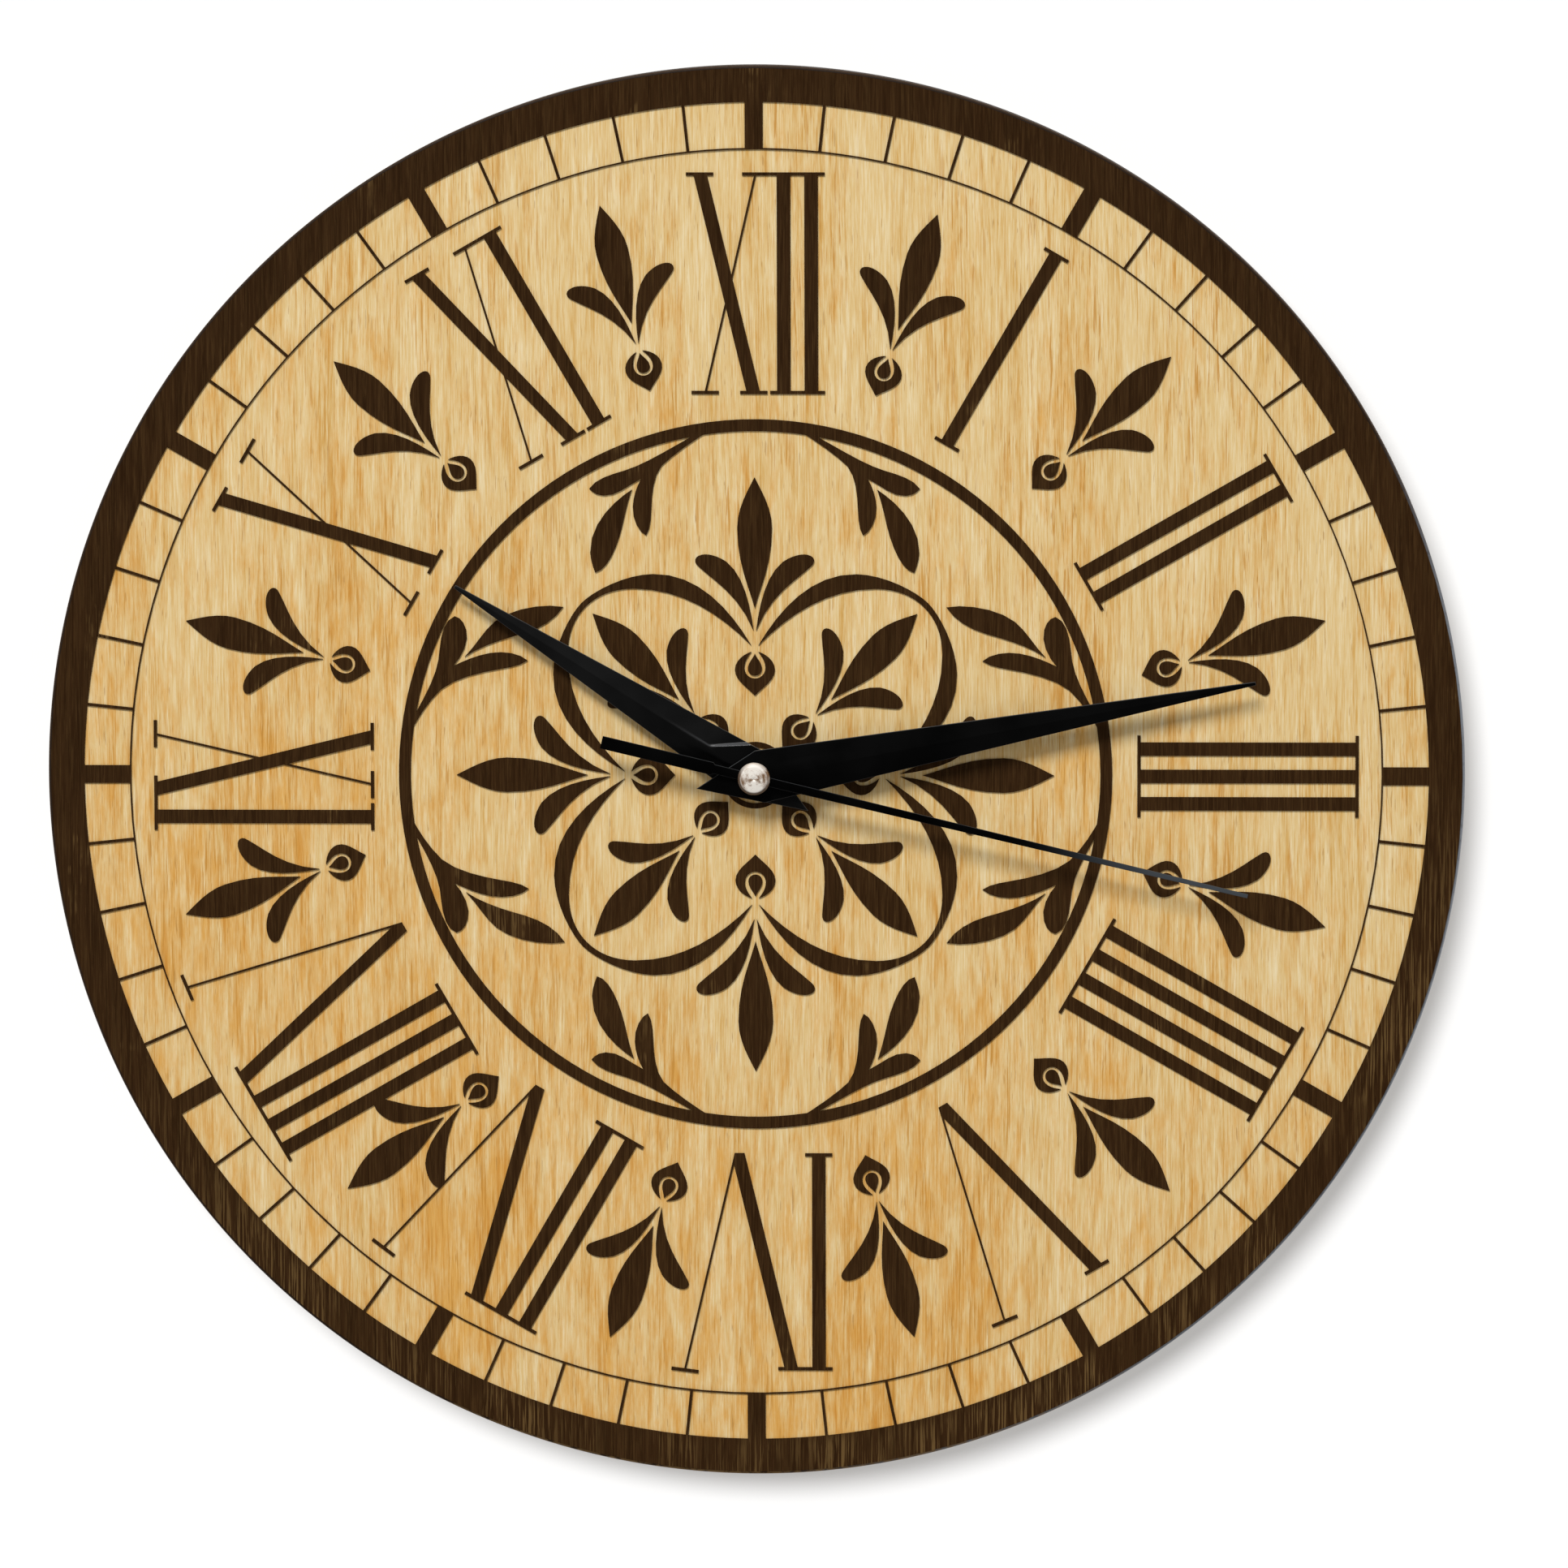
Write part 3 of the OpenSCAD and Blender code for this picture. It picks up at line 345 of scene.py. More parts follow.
blackPaint = {
    # edge is the colour of a painted highlight on the edges
    "deep": tone(1, 1, 1), "thin": tone(4, 4, 4), "greyed": tone(64, 68, 72), "edge": tone(66, 67, 69),
    # roughness, and from where to where its change at the hub and along the lower root fades out
    "rough": 0.41, "hub": (7 * mm, 13 * mm), "root": (12 * mm, 36 * mm),
    "lowerSide": (-0.3 * mm, 0.3 * mm, 0.75, 0.0),
    # clouds in the paint, how far they change its roughness and how they break up the rubbing
    "cloud": 70.0, "clouds": (0.3, 0.7), "roughSpread": 0.05, "rubbedClouds": (0.2, 0.6, 0.75, 1.0),
    # squares of the normal's Y part between which a flat becomes an edge with the painted highlight
    "turned": (0.55, 0.93), "peel": 2600.0, "bump": (0.12, 0.02 * mm),
}
# rubbing that would set in a metre out, so none shows
unrubbed = (1.0, 2.0)


def makeBlackPaint(name, gloss, edge=0.85, turn=0.0, greyed=unrubbed, hubRough=blackPaint["rough"]):
    # black paint with a painted highlight on the edges that turn from the front, and rubbed grey towards the
    # tip of a hand that points at turn degrees
    finish = Finish(name, Specular_IOR_Level=gloss)
    cloud = finish.point.noise(blackPaint["cloud"], 3.0)
    peel = finish.point.noise(blackPaint["peel"], 2.0)
    x, z = fromDial(finish.point).axes("XZ")
    turn = math.radians(turn)
    along = x * math.sin(turn) + z * math.cos(turn)
    bare = along.ramp(*greyed) * cloud.ramp(*blackPaint["rubbedClouds"])
    # smoother paint at the hub, and along the root of the side that faces down
    across = x * math.cos(turn) - z * math.sin(turn)
    radius = fromShaft(x, z)
    lower = across.ramp(*blackPaint["lowerSide"]) * radius.ramp(*blackPaint["root"], 1.0, 0.0)
    smooth = radius.ramp(*blackPaint["hub"], 1.0, 0.0).biggest(lower)
    rough = blackPaint["rough"] + (hubRough - blackPaint["rough"]) * smooth
    spread = blackPaint["roughSpread"]
    paint = cloud.ramp(*blackPaint["clouds"]).tint(blackPaint["deep"], blackPaint["thin"])
    # painted highlight: where the surface turns away from the front it is painted grey
    flat = finish.facing().axes("Y")[0]
    paint = (flat * flat).ramp(*blackPaint["turned"], edge, 0.0).tint(paint, blackPaint["edge"])
    return finish.wear(
        Base_Color=bare.tint(paint, blackPaint["greyed"]),
        Roughness=rough + cloud.ramp(*blackPaint["clouds"], -spread, spread),
        Normal=peel.bump(*blackPaint["bump"]),
    )


spunSilver = {
    # bright and shade are the painted reflection, rim is painted shade
    "bright": tone(253, 248, 240), "shade": tone(168, 126, 84), "rim": tone(92, 70, 50),
    "turn": -4.0, "pitch": 0.34 * mm, "eye": 0.03 * mm,
    # how fine the swirl is from cut to cut and round the cap
    "swirl": (1300, 1.5),
    # shares of the fans, the swirl and the rings in how bright it is, and the values that this lies between
    "shares": (0.8, 2.6, 0.05), "toBright": (-0.5, 0.62),
    # painted shade: a dark rim, stronger on the low side
    "rimAt": (2.65 * mm, 3.05 * mm), "rimShare": 0.92,
    "slant": 0.5, "lowSide": (-3.0 * mm, 1.5 * mm, 0.3, 1.0),
    "rough": (0.5, 0.72), "bump": (0.2, 0.02 * mm),
}


def makeSpunSilver():
    # painted reflection: bright fans, swirls and darker sectors in the base colour, as light gathers in two
    # fans on facing cuts that run round the cap
    finish = Finish("turned_silver", Metallic=1.0)
    place = fromDial(finish.point)
    x, z = place.axes("XZ")
    radius = fromShaft(x, z)
    lean = math.radians(spunSilver["turn"])
    along = x * math.sin(lean) + z * math.cos(lean)
    safe = radius.biggest(spunSilver["eye"])
    fan = along * along / (safe * safe)
    rings = (radius * (2 * math.pi / spunSilver["pitch"])).wave()
    outward, around = spunSilver["swirl"]
    swirl = place.vector(radius * outward, around * x / safe, around * z / safe).noise(1.0, 3.0, 0.65)
    ofFan, ofSwirl, ofRings = spunSilver["shares"]
    mask = (ofFan * fan + ofSwirl * (swirl - 0.5) + ofRings * rings).ramp(*spunSilver["toBright"])
    # painted shade on the rim's low side, and the painted reflection on the face
    low = (0 - spunSilver["slant"] * x - z).ramp(*spunSilver["lowSide"])
    rim = radius.ramp(*spunSilver["rimAt"]) * low
    face = mask.tint(spunSilver["shade"], spunSilver["bright"])
    return finish.wear(
        Base_Color=(spunSilver["rimShare"] * rim).tint(face, spunSilver["rim"]),
        Roughness=mask.ramp(0.0, 1.0, *spunSilver["rough"]),
        Normal=rings.bump(*spunSilver["bump"]),
    )


# moulded, turned and sheet finishes: two colours, roughness from and to, fineness of the grain, bump and
# sockets that are the same all over
plainFinishes = {
    "brass": (tone(212, 178, 96), tone(186, 148, 70), 0.28, 0.42, 900, 0.10, {"Metallic": 1.0}),
    "rubber": (tone(30, 30, 31), tone(42, 42, 43), 0.75, 0.9, 700, 0.30, {"Specular_IOR_Level": 0.25}),
    "case_black": (tone(24, 24, 26), tone(34, 34, 36), 0.42, 0.58, 1500, 0.28, {"Specular_IOR_Level": 0.4}),
    "white_plastic": (tone(232, 229, 220), tone(218, 214, 203), 0.34, 0.46, 500, 0.10, {}),
    "steel": (tone(202, 204, 207), tone(172, 175, 180), 0.24, 0.38, 800, 0.10, {"Metallic": 1.0}),
    "magnet": (tone(84, 85, 88), tone(62, 63, 66), 0.45, 0.6, 1400, 0.25, {"Metallic": 0.8}),
    "bobbin_black": (tone(38, 38, 40), tone(28, 28, 30), 0.4, 0.55, 900, 0.15, {}),
    "circuit_green": (tone(40, 96, 58), tone(28, 78, 45), 0.3, 0.45, 300, 0.10, {}),
    "chip_black": (tone(18, 18, 19), tone(26, 26, 27), 0.2, 0.34, 260, 0.20, {}),
}
# how fine the broad grain is next to the fine one, its share in the mix, and the depth of the bump
plainGrain = {"broad": 0.08, "share": 0.6, "span": (0.35, 0.65), "deep": 0.05 * mm}


def makePlain(name):
    first, second, smooth, rough, fineness, strength, fixed = plainFinishes[name]
    finish = Finish(name, **fixed)
    broad = finish.point.noise(fineness * plainGrain["broad"], 3.0)
    fine = finish.point.noise(float(fineness), 3.0, 0.6)
    mix = plainGrain["share"] * broad + (1 - plainGrain["share"]) * fine
    mix = mix.ramp(*plainGrain["span"])
    return finish.wear(
        Base_Color=mix.tint(first, second),
        Roughness=mix.ramp(0.0, 1.0, smooth, rough),
        Normal=fine.bump(strength, plainGrain["deep"]),
    )


winding = {
    # bright and deep: painted light and shade across each turn, and the random drift between them
    "wire": 0.12 * mm, "bright": tone(206, 122, 62), "deep": tone(128, 62, 26),
    # shares of the turns and of a slow drift in how bright it is
    "turnShare": 0.4, "drift": 600.0, "driftShare": 0.4, "span": (0.1, 0.9),
    "rough": (0.45, 0.28), "bump": (0.6, 0.05 * mm),
}


def makeCopperWire():
    # turns of lacquered wire side by side along X, with painted shade: bright on each turn's crest and deep
    # in the grooves between turns, and a slow drift of tone at random
    finish = Finish("copper_winding", Metallic=0.85)
    x = finish.point.axes("X")[0]
    turns = (x * (2 * math.pi / winding["wire"])).wave()
    drift = finish.point.noise(winding["drift"], 2.0)
    mask = 0.5 + winding["turnShare"] * turns + winding["driftShare"] * (drift - 0.5)
    mask = mask.ramp(*winding["span"])
    return finish.wear(
        Base_Color=mask.tint(winding["deep"], winding["bright"]),
        Roughness=mask.ramp(0.0, 1.0, *winding["rough"]),
        Normal=turns.bump(*winding["bump"]),
    )


cellFilm = {
    "body": tone(38, 62, 98),
    "deep": tone(28, 47, 78),
    "band": tone(196, 160, 84),
    "bandAt": (14.0 * mm, 25.0 * mm),
    "soft": 0.2 * mm,
    "cloud": 220.0, "toBody": (0.35, 0.65),
    "scuff": (120, 900, 900), "rough": (0.35, 0.7, 0.2, 0.36), "bump": (0.08, 0.03 * mm),
}


def makeCellFilm():
    # shrunk film: a plain blue body with one copper-gold band at the button end
    finish = Finish("cell_film", Metallic=0.35)
    x = finish.point.axes("X")[0]
    (start, end), soft = cellFilm["bandAt"], cellFilm["soft"]
    band = x.ramp(start, start + soft) * (1 - x.ramp(end, end + soft))
    cloud = finish.point.noise(cellFilm["cloud"], 3.0)
    body = cloud.ramp(*cellFilm["toBody"]).tint(cellFilm["deep"], cellFilm["body"])
    scuff = finish.point.stretch(*cellFilm["scuff"]).noise(1.0, 3.0)
    return finish.wear(
        Base_Color=band.tint(body, cellFilm["band"]),
        Roughness=scuff.ramp(*cellFilm["rough"]),
        Normal=scuff.bump(*cellFilm["bump"]),
    )


finishes = {name: makePlain(name) for name in plainFinishes}
finishes.update(
    wood=makePaleWood(),
    dark_veneer=makeDarkVeneer(),
    hand_black=makeBlackPaint("satin_black", 0.1),
    cap_silver=makeSpunSilver(),
    copper_winding=makeCopperWire(),
    cell_jacket=makeCellFilm(),
)
for part in frame["record"]["subparts"]:
    mesh = nodes[part["node"]].data
    mesh.materials.clear()
    mesh.materials.append(finishes[part["material_slot"]])
print("finishes made:", len(finishes))


# points closer together than this, in metres, are one point
weld = 1e-7


def addPiece(name, mesh, body, slot, stands, sharp, finish=None):
    # closes seams and poles, turns the faces outwards and hangs the piece on its body
    shell = bmesh.new()
    shell.from_mesh(mesh)
    bmesh.ops.remove_doubles(shell, verts=shell.verts, dist=weld)
    bmesh.ops.recalc_face_normals(shell, faces=shell.faces)
    shell.to_mesh(mesh)
    shell.free()
    mesh.shade_smooth()
    mesh.set_sharp_from_angle(angle=math.radians(sharp))
    mesh.materials.append(finish or finishes[slot])
    piece = bpy.data.objects.new(name, mesh)
    bpy.context.scene.collection.objects.link(piece)
    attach(piece, body)
    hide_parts(*stands)
    return piece


def gridMesh(name, points, joinRows=False):
    # a grid of rows by columns by 3; each row is a closed loop, and joined rows close the grid
    rows, columns = points.shape[:2]
    index = np.arange(rows * columns).reshape(rows, columns)
    index = np.hstack([index, index[:, :1]])
    if joinRows:
        index = np.vstack([index, index[:1]])
    quads = np.stack([index[:-1, :-1], index[:-1, 1:], index[1:, 1:], index[1:, :-1]], -1).reshape(-1, 4)
    mesh = bpy.data.meshes.new(name)
    mesh.vertices.add(rows * columns)
    mesh.vertices.foreach_set("co", points.reshape(-1).astype(np.float32))
    mesh.loops.add(quads.size)
    mesh.loops.foreach_set("vertex_index", quads.reshape(-1).astype(np.int32))
    mesh.polygons.add(len(quads))
    mesh.polygons.foreach_set("loop_start", np.arange(0, quads.size, 4, dtype=np.int32))
    mesh.update(calc_edges=True)
    return mesh


def turnedMesh(name, profile, columns, joinRows=True):
    # a profile of radius and depth carried round the shaft: x = r cos a, z = r sin a, y = -depth
    profile = np.array(profile, float)
    angle = np.linspace(0, 2 * math.pi, columns, endpoint=False)
    radius = profile[:, :1]
    points = np.stack(
        [radius * np.cos(angle), np.repeat(-profile[:, 1:], columns, 1), radius * np.sin(angle)], -1
    )
    return gridMesh(name, points + np.array(dial["centre"]), joinRows)


def arc(centre, radius, start, end, count):
    # points of a round corner in a profile, angles in degrees
    angle = np.radians(np.linspace(start, end, count))
    return np.stack([centre[0] + radius * np.cos(angle), centre[1] + radius * np.sin(angle)], -1)


board = {"hole": 3.6 * mm, "round": 0.6 * mm, "roundPoints": 7, "columns": 720, "sharp": 40.0}


def makeBoard():
    # flat disc with a shaft hole and rounded edges
    face, back, rounding, count = dial["face"], dial["back"], board["round"], board["roundPoints"]
    inside = dial["radius"] - rounding
    profile = np.concatenate([
        [[board["hole"], back]],
        arc((inside, back + rounding), rounding, -90, 0, count),
        arc((inside, face - rounding), rounding, 0, 90, count),
        [[board["hole"], face]],
    ])
    mesh = turnedMesh("board_disc", profile, board["columns"])
    return addPiece("board_disc", mesh, "clock", "wood", ["dial_board"], board["sharp"])


hourHand = {
    "length": 75 * mm, "turn": 302.5, "depth": 26.3 * mm, "bore": 2.5 * mm,
    "boss": 3.3 * mm, "bossDrop": 0.8 * mm, "body": "hour_hand_body", "stands": "hour_hand",
    "tail": 13.4 * mm, "sink": 0.17 * mm, "drop": 0.53 * mm, "slope": (8 * mm, 0.7 * mm),
    "gloss": 0.26, "hubRough": 0.25,
}
minuteHand = {
    "length": 107.6 * mm, "turn": 79.2, "depth": 28.15 * mm, "bore": 1.75 * mm,
    "boss": 2.6 * mm, "bossDrop": 0.6 * mm, "body": "minute_hand_body", "stands": "minute_hand",
    "tail": 12.4 * mm, "sink": 0.0, "drop": 0.3 * mm, "slope": (9 * mm, 9 * mm),
    "gloss": 0.07, "hubRough": 0.41,
}
foldedBlade = {
    "half": 5.6 * mm, "wideAt": 1.2 * mm, "tip": 0.35 * mm, "height": 0.85 * mm,
    "foldEnd": 12.8 * mm, "foldEdge": 5.0 * mm, "round": 0.12 * mm, "sharp": 25.0,
    # the spine that runs out along the fold: where it ends, and how wide it and its two sides are
    "spineEnd": 25 * mm, "spine": 0.15 * mm, "spineSides": (2.4 * mm, 0.6 * mm),
    # points on the five edges, and how much closer they stand towards the hub
    "edgePoints": (36, 150, 6, 150, 36), "crowding": 1.7,
    # rows over the top: close ones out to a distance, or a share of the way at most, then wide ones
    "closeTo": 27 * mm, "closeShare": 0.85, "closeRows": 90, "wideRows": 12,
    "roundAngles": (18, 36, 54, 72, 90),
}


def onDial(hand, local):
    # across, along and height of a hand: along turns clockwise from the top, height goes forward
    turn = math.radians(hand["turn"])
    across, along, high = local[..., 0], local[..., 1], local[..., 2]
    return np.stack([
        across * math.cos(turn) + along * math.sin(turn),
        -(hand["depth"] + high),
        along * math.cos(turn) - across * math.sin(turn) + dial["centre"][2],
    ], -1)


def kite(hand, inset):
    # the outline of a hand moved inwards by inset, as points of (across, along) with a fixed count per edge
    half, wideAt, tip = [foldedBlade[key] for key in ("half", "wideAt", "tip")]
    length, tail = hand["length"], hand["tail"]
    corners = np.array([[0, -tail], [half, wideAt], [tip, length], [-tip, length], [-half, wideAt]])
    following = np.roll(corners, -1, 0)
    run = following - corners
    inward = np.stack([-run[:, 1], run[:, 0]], -1) / np.linalg.norm(run, axis=1)[:, None]
    start = corners + inset * inward
    # each moved corner is where the moved edges before and after it cross
    before, runBefore = np.roll(start, 1, 0), np.roll(run, 1, 0)
    cross = runBefore[:, 0] * run[:, 1] - runBefore[:, 1] * run[:, 0]
    gap = start - before
    share = (gap[:, 0] * run[:, 1] - gap[:, 1] * run[:, 0]) / cross
    moved = before + share[:, None] * runBefore
    # on the two long edges the points stand closer together towards the hub
    steps = [np.linspace(0, 1, count, endpoint=False) for count in foldedBlade["edgePoints"]]
    power = foldedBlade["crowding"]
    steps[1], steps[3] = steps[1] ** power, 1 - (1 - steps[3]) ** power
    following = np.roll(moved, -1, 0)
    return np.concatenate([a + step[:, None] * (b - a) for a, b, step in zip(moved, following, steps)])


def makeFoldedHand(hand):
    # rows run from the bore over the blade to its rounded edge, under it to the collet and back to the bore
    blade = foldedBlade
    rim = kite(hand, 0.0)
    heading = rim / np.linalg.norm(rim, axis=1)[:, None]

    def roof(flat):
        # height of the blade: two slopes down from the fold, which rise to a flat hub at a pointed step,
        # and a slim spine from the step's point; the step is a smooth curve, 3 s squared less 2 s cubed
        across, along = np.abs(flat[..., 0]), flat[..., 1]
        slopes = blade["height"] - hand["sink"] - hand["drop"] * across / blade["half"]
        lean = (blade["foldEnd"] - blade["foldEdge"]) / blade["half"]
        slope, side = (np.where(flat[..., 0] < 0, *pair) for pair in (hand["slope"], blade["spineSides"]))
        hub = (blade["foldEnd"] - lean * across - along) / math.hypot(1, lean) / slope
        left = np.clip((blade["spineEnd"] - along) / (blade["spineEnd"] - blade["foldEnd"]), 0, 1)
        spine = left * np.clip(1 - (across - blade["spine"]) / side, 0, 1)
        step = np.clip(np.cbrt(np.maximum(hub, 0) ** 3 + spine ** 3), 0, 1)
        step = step * step * (3 - 2 * step)
        return slopes + step * (blade["height"] - slopes)

    inner = kite(hand, blade["round"])
    reach = np.linalg.norm(inner, axis=1)[:, None]
    near = np.minimum(blade["closeTo"], blade["closeShare"] * reach)
    close = np.linspace(0, 1, blade["closeRows"])[:, None, None]
    wide = np.linspace(0, 1, blade["wideRows"])[1:, None, None]
    unit = inner / reach
    bore = hand["bore"]
    top = np.concatenate([bore + close * (near - bore), near + wide * (reach - near)]) * unit
    rows = [np.concatenate([top, roof(top)[..., None]], -1)]
    # rounded edge, then the wall and the flat underside
    for turn in np.radians(blade["roundAngles"]):
        flat = kite(hand, blade["round"] * (1 - math.sin(turn)))
        high = roof(inner) - blade["round"] * (1 - math.cos(turn))
        rows.append(np.concatenate([flat, high[:, None]], -1)[None])
    for flat, high in (
        (rim, 0.0), (hand["boss"] * heading, 0.0),
        (hand["boss"] * heading, -hand["bossDrop"]), (bore * unit, -hand["bossDrop"]),
    ):
        rows.append(np.concatenate([flat, np.full((len(flat), 1), high)], -1)[None])
    name = hand["stands"] + "_blade"
    mesh = gridMesh(name, onDial(hand, np.concatenate(rows)), True)
    paint = makeBlackPaint(name + "_paint", hand["gloss"], turn=hand["turn"], hubRough=hand["hubRough"])
    return addPiece(name, mesh, hand["body"], "hand_black", [hand["stands"]], blade["sharp"], paint)


secondHand = {
    "turn": 103.4, "depth": 29.85 * mm, "height": 0.5 * mm, "round": 0.09 * mm, "hub": 2.4 * mm,
    "body": "second_hand_body", "stands": "second_hand", "greyed": (58 * mm, 92 * mm), "gloss": 0.04,
    "edge": 0.6, "sharp": 50.0,
    # half widths along the hand, in millimetres: tail bar, neck, then the needle down to its tip
    "along": (-33.1, -9.1, -8.7, 0.0, 107.0), "half": (1.35, 1.35, 0.95, 0.95, 0.42),
    "barRows": 40, "neckRows": 12, "hubRows": 41, "needleRows": 90, "roundPoints": 6,
}


def makeSecondHand():
    # a section with rounded edges carried along the hand; the width follows the outline and the round hub
    hand, hub = secondHand, secondHand["hub"]
    ends = np.array(hand["along"]) * mm
    along = np.unique(np.concatenate([
        np.linspace(ends[0], ends[1], hand["barRows"]),
        np.linspace(ends[2], -hub, hand["neckRows"]),
        np.linspace(-hub, hub, hand["hubRows"]),
        np.linspace(hub, ends[4], hand["needleRows"]),
    ]))
    half = np.interp(along, ends, np.array(hand["half"]) * mm)
    half = np.maximum(half, np.sqrt(np.maximum(hub ** 2 - along ** 2, 0)))
    rounding, thick, count = hand["round"], hand["height"], hand["roundPoints"]
    # in the section, the first number is a side, -1 or 1, plus a share of the rounding, and the second
    # is the height in the rounding; the two points of the underside stand at -1
    section = np.concatenate([
        arc((1, 0), 1, 0, 90, count), arc((-1, 0), 1, 90, 180, count), [[-2, -1], [2, -1]],
    ])
    side, under = np.sign(section[:, 0]), section[:, 1] < 0
    turn = np.where(under, 1.0, np.abs(section[:, 0] - side))
    across = side * (half[:, None] - rounding + rounding * turn)
    high = np.where(under, 0.0, thick - rounding + rounding * section[:, 1])
    local = np.stack(np.broadcast_arrays(across, along[:, None], high[None]), -1)
    # both ends close on a line of middle points
    caps = [local[[k]] * np.array([0, 1, 0]) + np.array([0, 0, thick / 2]) for k in (0, -1)]
    local = np.concatenate([caps[0], local, caps[1]])
    mesh = gridMesh("second_hand_needle", onDial(hand, local))
    paint = makeBlackPaint("second_hand_paint", hand["gloss"], hand["edge"], hand["turn"], hand["greyed"])
    return addPiece(
        "second_hand_needle", mesh, hand["body"], "hand_black", [hand["stands"]], hand["sharp"], paint
    )


cap = {
    "base": 30.35 * mm, "radius": 3.42 * mm, "bore": 0.75 * mm, "boreDeep": 1.1 * mm, "chamfer": 0.08 * mm,
    "shoulder": 0.62 * mm, "shoulderAt": 0.68 * mm, "shoulderTurn": 72, "faceInset": 0.75 * mm,
    "face": 1.32 * mm, "dome": 0.18 * mm, "dimple": 0.12 * mm, "dimpleWide": 0.32 * mm,
    "shoulderPoints": 9, "facePoints": 40, "columns": 160, "sharp": 40.0,
}


def makeCap():
    # turned button: straight side, rounded shoulder, slightly domed face with a bell-shaped centre dimple
    radius, bore, deep, chamfer, shoulder = [
        cap[key] for key in ("radius", "bore", "boreDeep", "chamfer", "shoulder")
    ]
    flat = np.linspace(radius - cap["faceInset"], 0.0, cap["facePoints"])
    dome = cap["face"] + cap["dome"] * (1 - (flat / radius) ** 2)
    dome -= cap["dimple"] * np.exp(-((flat / cap["dimpleWide"]) ** 2))
    profile = np.concatenate([
        [[0.0, deep], [bore, deep], [bore, 0.0], [radius - chamfer, 0.0], [radius, chamfer]],
        arc((radius - shoulder, cap["shoulderAt"]), shoulder, 0, cap["shoulderTurn"], cap["shoulderPoints"]),
        np.stack([flat, dome], -1),
    ])
    profile[:, 1] += cap["base"]
    mesh = turnedMesh("cap_button", profile, cap["columns"], False)
    return addPiece("cap_button", mesh, "second_hand_body", "cap_silver", ["hand_cap"], cap["sharp"])


# moulded pieces of the movement: how far from the rear and above what height their rounded edges lie
mouldings = {
    "rear_case": {
        "round": 0.4 * mm, "depth": 2.6 * mm, "above": -43 * mm,
        "body": "clock", "slot": "case_black",
    },
    "setting_knob": {
        "round": 0.16 * mm, "depth": 4 * mm, "above": -70 * mm,
        "body": "setting_body", "slot": "white_plastic",
    },
}
# angles in degrees: faces within flat are one plane, edges beyond sharp are rounded, shading breaks at shade
edgeWork = {"join": 1e-6, "flat": 0.5, "sharp": 40.0, "steps": 3, "shade": 12.0}


def makeMoulding(node, spec):
    # the solid's own faces, merged and joined where they lie in one plane, with the sharp rear edges rounded
    shell = bmesh.new()
    shell.from_mesh(nodes[node].data)
    bmesh.ops.remove_doubles(shell, verts=shell.verts, dist=edgeWork["join"])
    flat, limit = math.radians(edgeWork["flat"]), math.radians(edgeWork["sharp"])
    bmesh.ops.dissolve_limit(shell, angle_limit=flat, verts=shell.verts, edges=shell.edges)
    sharp = [edge for edge in shell.edges if edge.calc_face_angle(0.0) > limit]
    middle = np.array([(edge.verts[0].co + edge.verts[1].co) / 2 for edge in sharp])
    rear = (middle[:, 1] > middle[:, 1].max() - spec["depth"]) & (middle[:, 2] > spec["above"])
    bmesh.ops.bevel(
        shell, geom=[edge for edge, chosen in zip(sharp, rear) if chosen], offset=spec["round"],
        offset_type="OFFSET", segments=edgeWork["steps"], profile=0.5, affect="EDGES", clamp_overlap=False,
    )
    mesh = bpy.data.meshes.new(node + "_moulding")
    shell.to_mesh(mesh)
    shell.free()
    return addPiece(node + "_moulding", mesh, spec["body"], spec["slot"], [node], edgeWork["shade"])


makeBoard()
print("board made")
makeFoldedHand(hourHand)
makeFoldedHand(minuteHand)
makeSecondHand()
makeCap()
print("hands and cap made")
for node, spec in mouldings.items():
    makeMoulding(node, spec)
print("mouldings made:", len(mouldings))


wall = {"at": 0.4 * mm, "half": 3.0, "colour": (0.2, 0.2, 0.2, 1), "glow": 0.375}


def makeWall():
    # a white wall just behind the clock: seen only from the front, and no obstacle to light
    half, at = wall["half"], wall["at"]
    corners = [(-half, at, -half), (half, at, -half), (half, at, half), (-half, at, half)]
    mesh = bpy.data.meshes.new("wall")
    mesh.from_pydata(corners, [], [(0, 1, 2, 3)])
    panel = bpy.data.objects.new("wall", mesh)
    bpy.context.scene.collection.objects.link(panel)
    for ray in ("diffuse", "glossy", "transmission", "volume_scatter", "shadow"):
        setattr(panel, "visible_" + ray, False)
    material = bpy.data.materials.new("wall_white")
    material.use_nodes = True
    tree = material.node_tree
    tree.nodes.clear()
    out = tree.nodes.new("ShaderNodeOutputMaterial")
    behind = Wire(tree, tree.nodes.new("ShaderNodeNewGeometry").outputs["Backfacing"])
    paint = behind.node("ShaderNodeBsdfDiffuse", {}, {"Color": wall["colour"]})
    glow = behind.node("ShaderNodeEmission", {}, {"Strength": wall["glow"]})
    white = behind.node("ShaderNodeAddShader", {}, {0: paint, 1: glow})
    clear = behind.node("ShaderNodeBsdfTransparent")
    both = behind.node("ShaderNodeMixShader", {}, {0: behind, 1: white, 2: clear})
    tree.links.new(both.socket, out.inputs["Surface"])
    mesh.materials.append(material)
    return panel


# soft suns: where each stands from the clock, its strength and width in degrees
lamps = {
    "key": {"from": (-0.22, -0.72, 0.71), "strength": 2.62, "angle": 19},
    "wallKey": {"from": (-0.14, -1.0, 0.315), "strength": 9.3, "angle": 15.0},
    "backFill": {"from": (0.75, 0.55, -0.35), "strength": 1.6, "angle": 40},
}
# strength of the room's light, of what the camera sees and of the dark side, and where that side fades out
sky = {"light": 0.42, "shown": 1.0, "behindCamera": 0.12, "dark": 0.75, "bright": 0.2}


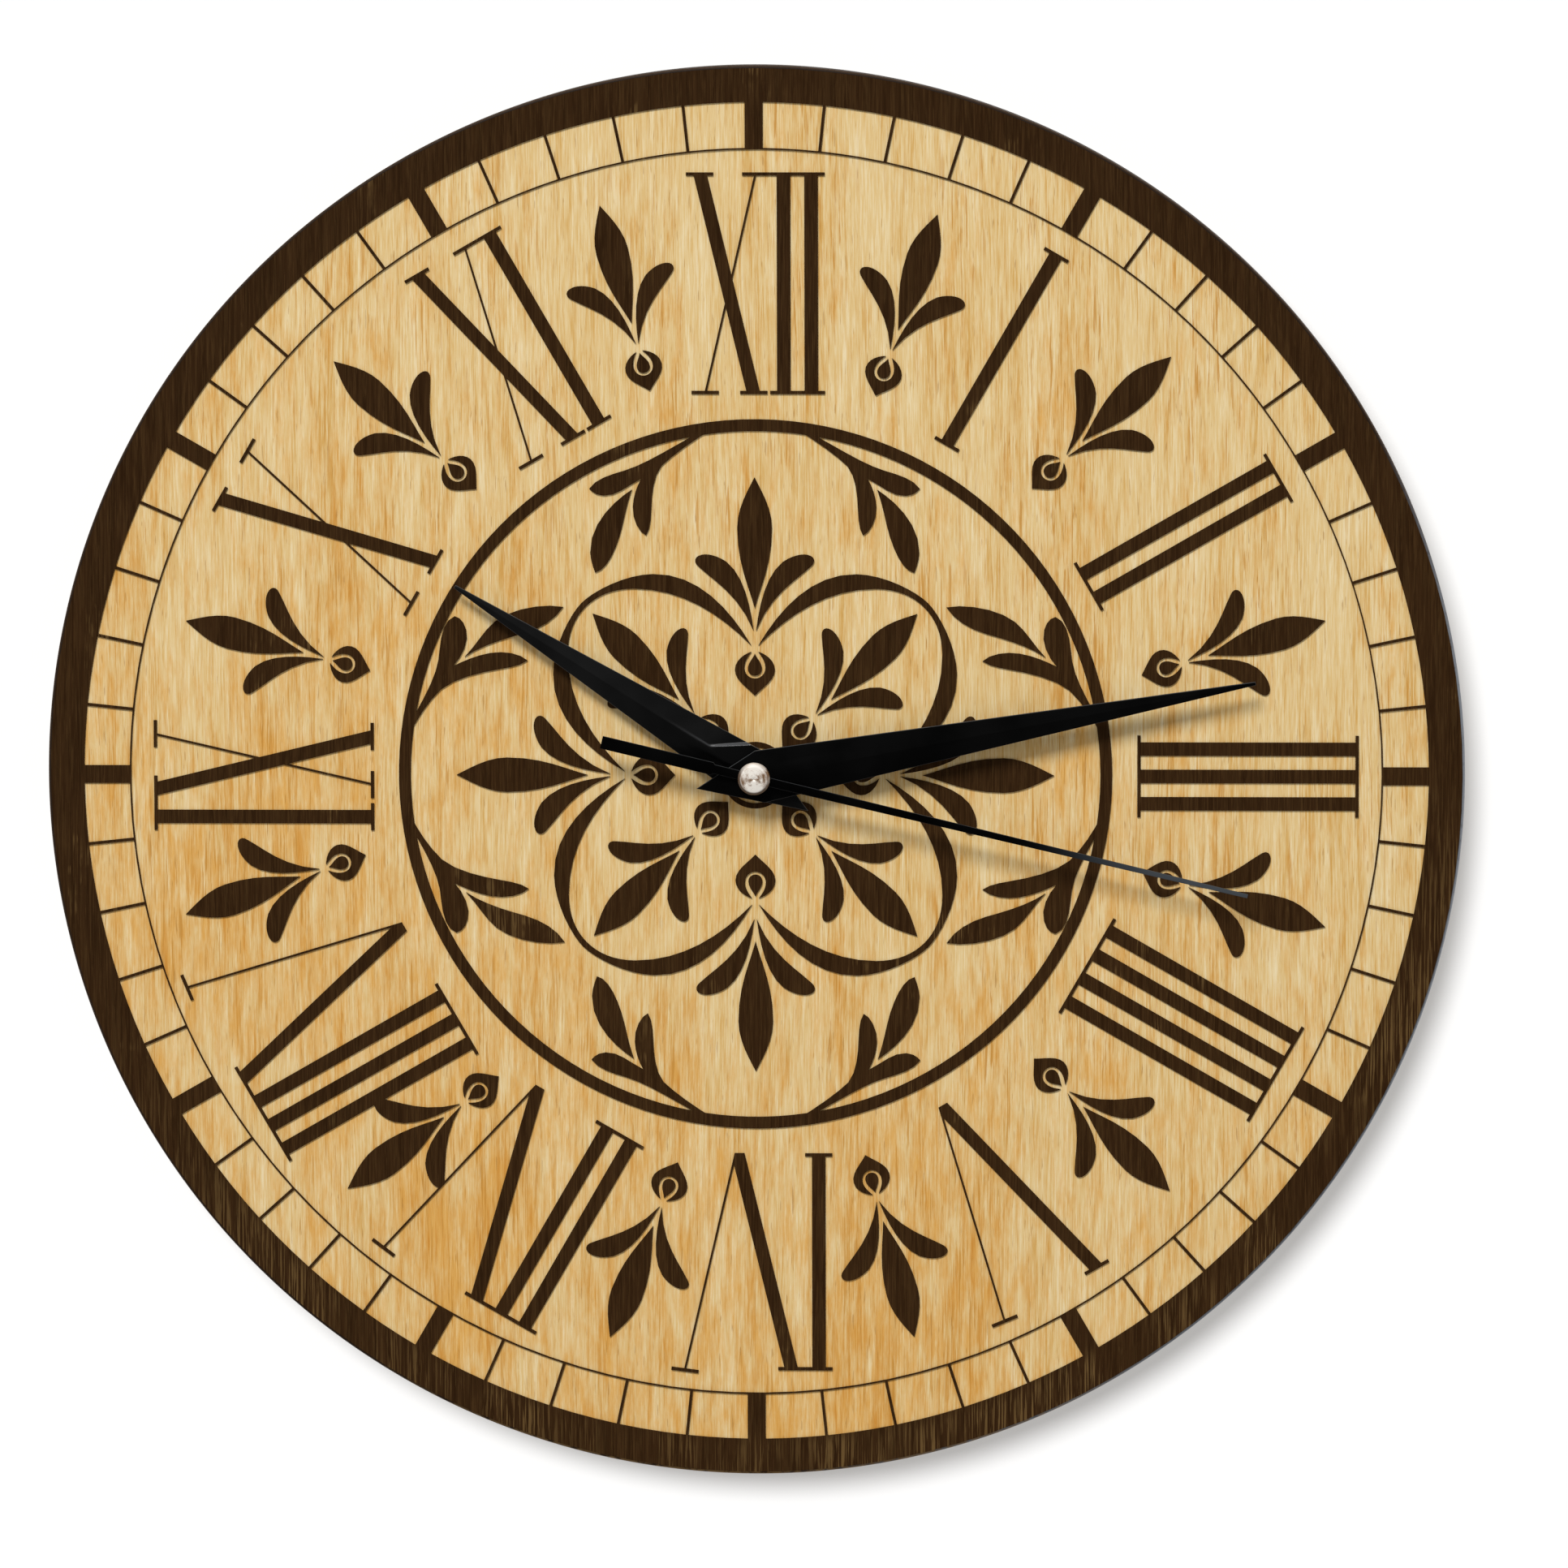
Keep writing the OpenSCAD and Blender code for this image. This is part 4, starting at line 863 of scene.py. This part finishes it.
def makeLights(panel):
    for name, spec in lamps.items():
        data = bpy.data.lights.new(name, "SUN")
        data.energy, data.angle = spec["strength"], math.radians(spec["angle"])
        lamp = bpy.data.objects.new(name, data)
        lamp.rotation_mode = "QUATERNION"
        lamp.rotation_quaternion = Vector(spec["from"]).to_track_quat("Z", "Y")
        bpy.context.scene.collection.objects.link(lamp)
        # the wall has a lamp of its own, for the shadow that the clock throws on it
        group = bpy.data.collections.new(name + "_receivers")
        group.objects.link(panel)
        own = "INCLUDE" if name == "wallKey" else "EXCLUDE"
        group.collection_objects[0].light_linking.link_state = own
        lamp.light_linking.receiver_collection = group
    world = bpy.data.worlds.new("studio")
    world.use_nodes = True
    bpy.context.scene.world = world
    tree = world.node_tree
    rays = tree.nodes.new("ShaderNodeLightPath").outputs
    camera, glossy, clear = [
        Wire(tree, rays[f"Is {kind} Ray"]) for kind in ("Camera", "Glossy", "Transmission")
    ]
    # white all round, but for the dark side of the room where the camera stands, which only reflections see
    away = Wire(tree, tree.nodes.new("ShaderNodeTexCoord").outputs["Generated"]).axes("Y")[0]
    room = away.ramp(-sky["dark"], -sky["bright"], sky["behindCamera"], sky["shown"])
    strength = sky["light"] + (room - sky["light"]) * glossy.biggest(clear)
    strength = strength + (sky["shown"] - strength) * camera
    backdrop = tree.nodes["Background"]
    backdrop.inputs["Color"].default_value = (1, 1, 1, 1)
    tree.links.new(strength.socket, backdrop.inputs["Strength"])


# angles in degrees, lens and sensor in millimetres, and the board's width and place in pixels
view = {
    "azimuth": 2.0, "elevation": 6.5, "roll": -0.12, "lens": 240.0, "sensor": 36.0,
    "pixels": 1932, "disc": 1746.5, "centre": (930.5, 955.0),
}


def makeCamera():
    # the disc's width in the picture sets the distance, and its place in the picture sets the aim
    scale = 2 * dial["radius"] / view["disc"]
    distance = scale * view["pixels"] * view["lens"] / view["sensor"]
    azimuth, elevation, roll = [math.radians(view[key]) for key in ("azimuth", "elevation", "roll")]
    level = math.cos(elevation)
    back = Vector((math.sin(azimuth) * level, -math.cos(azimuth) * level, math.sin(elevation)))
    turn = back.to_track_quat("Z", "Y") @ Quaternion((0, 0, 1), roll)
    middle = view["pixels"] / 2
    off = Vector(((middle - view["centre"][0]) * scale, (view["centre"][1] - middle) * scale, 0))
    aim = Vector((0, -dial["face"], dial["centre"][2])) + turn @ off
    data = bpy.data.cameras.new("camera")
    data.lens, data.sensor_width = view["lens"], view["sensor"]
    camera = bpy.data.objects.new("camera", data)
    camera.rotation_mode = "QUATERNION"
    camera.rotation_quaternion = turn
    camera.location = aim + back * distance
    bpy.context.scene.collection.objects.link(camera)
    bpy.context.scene.camera = camera


makeLights(makeWall())
makeCamera()
bpy.context.scene.view_settings.view_transform = "Standard"
print("wall, lights and camera made")
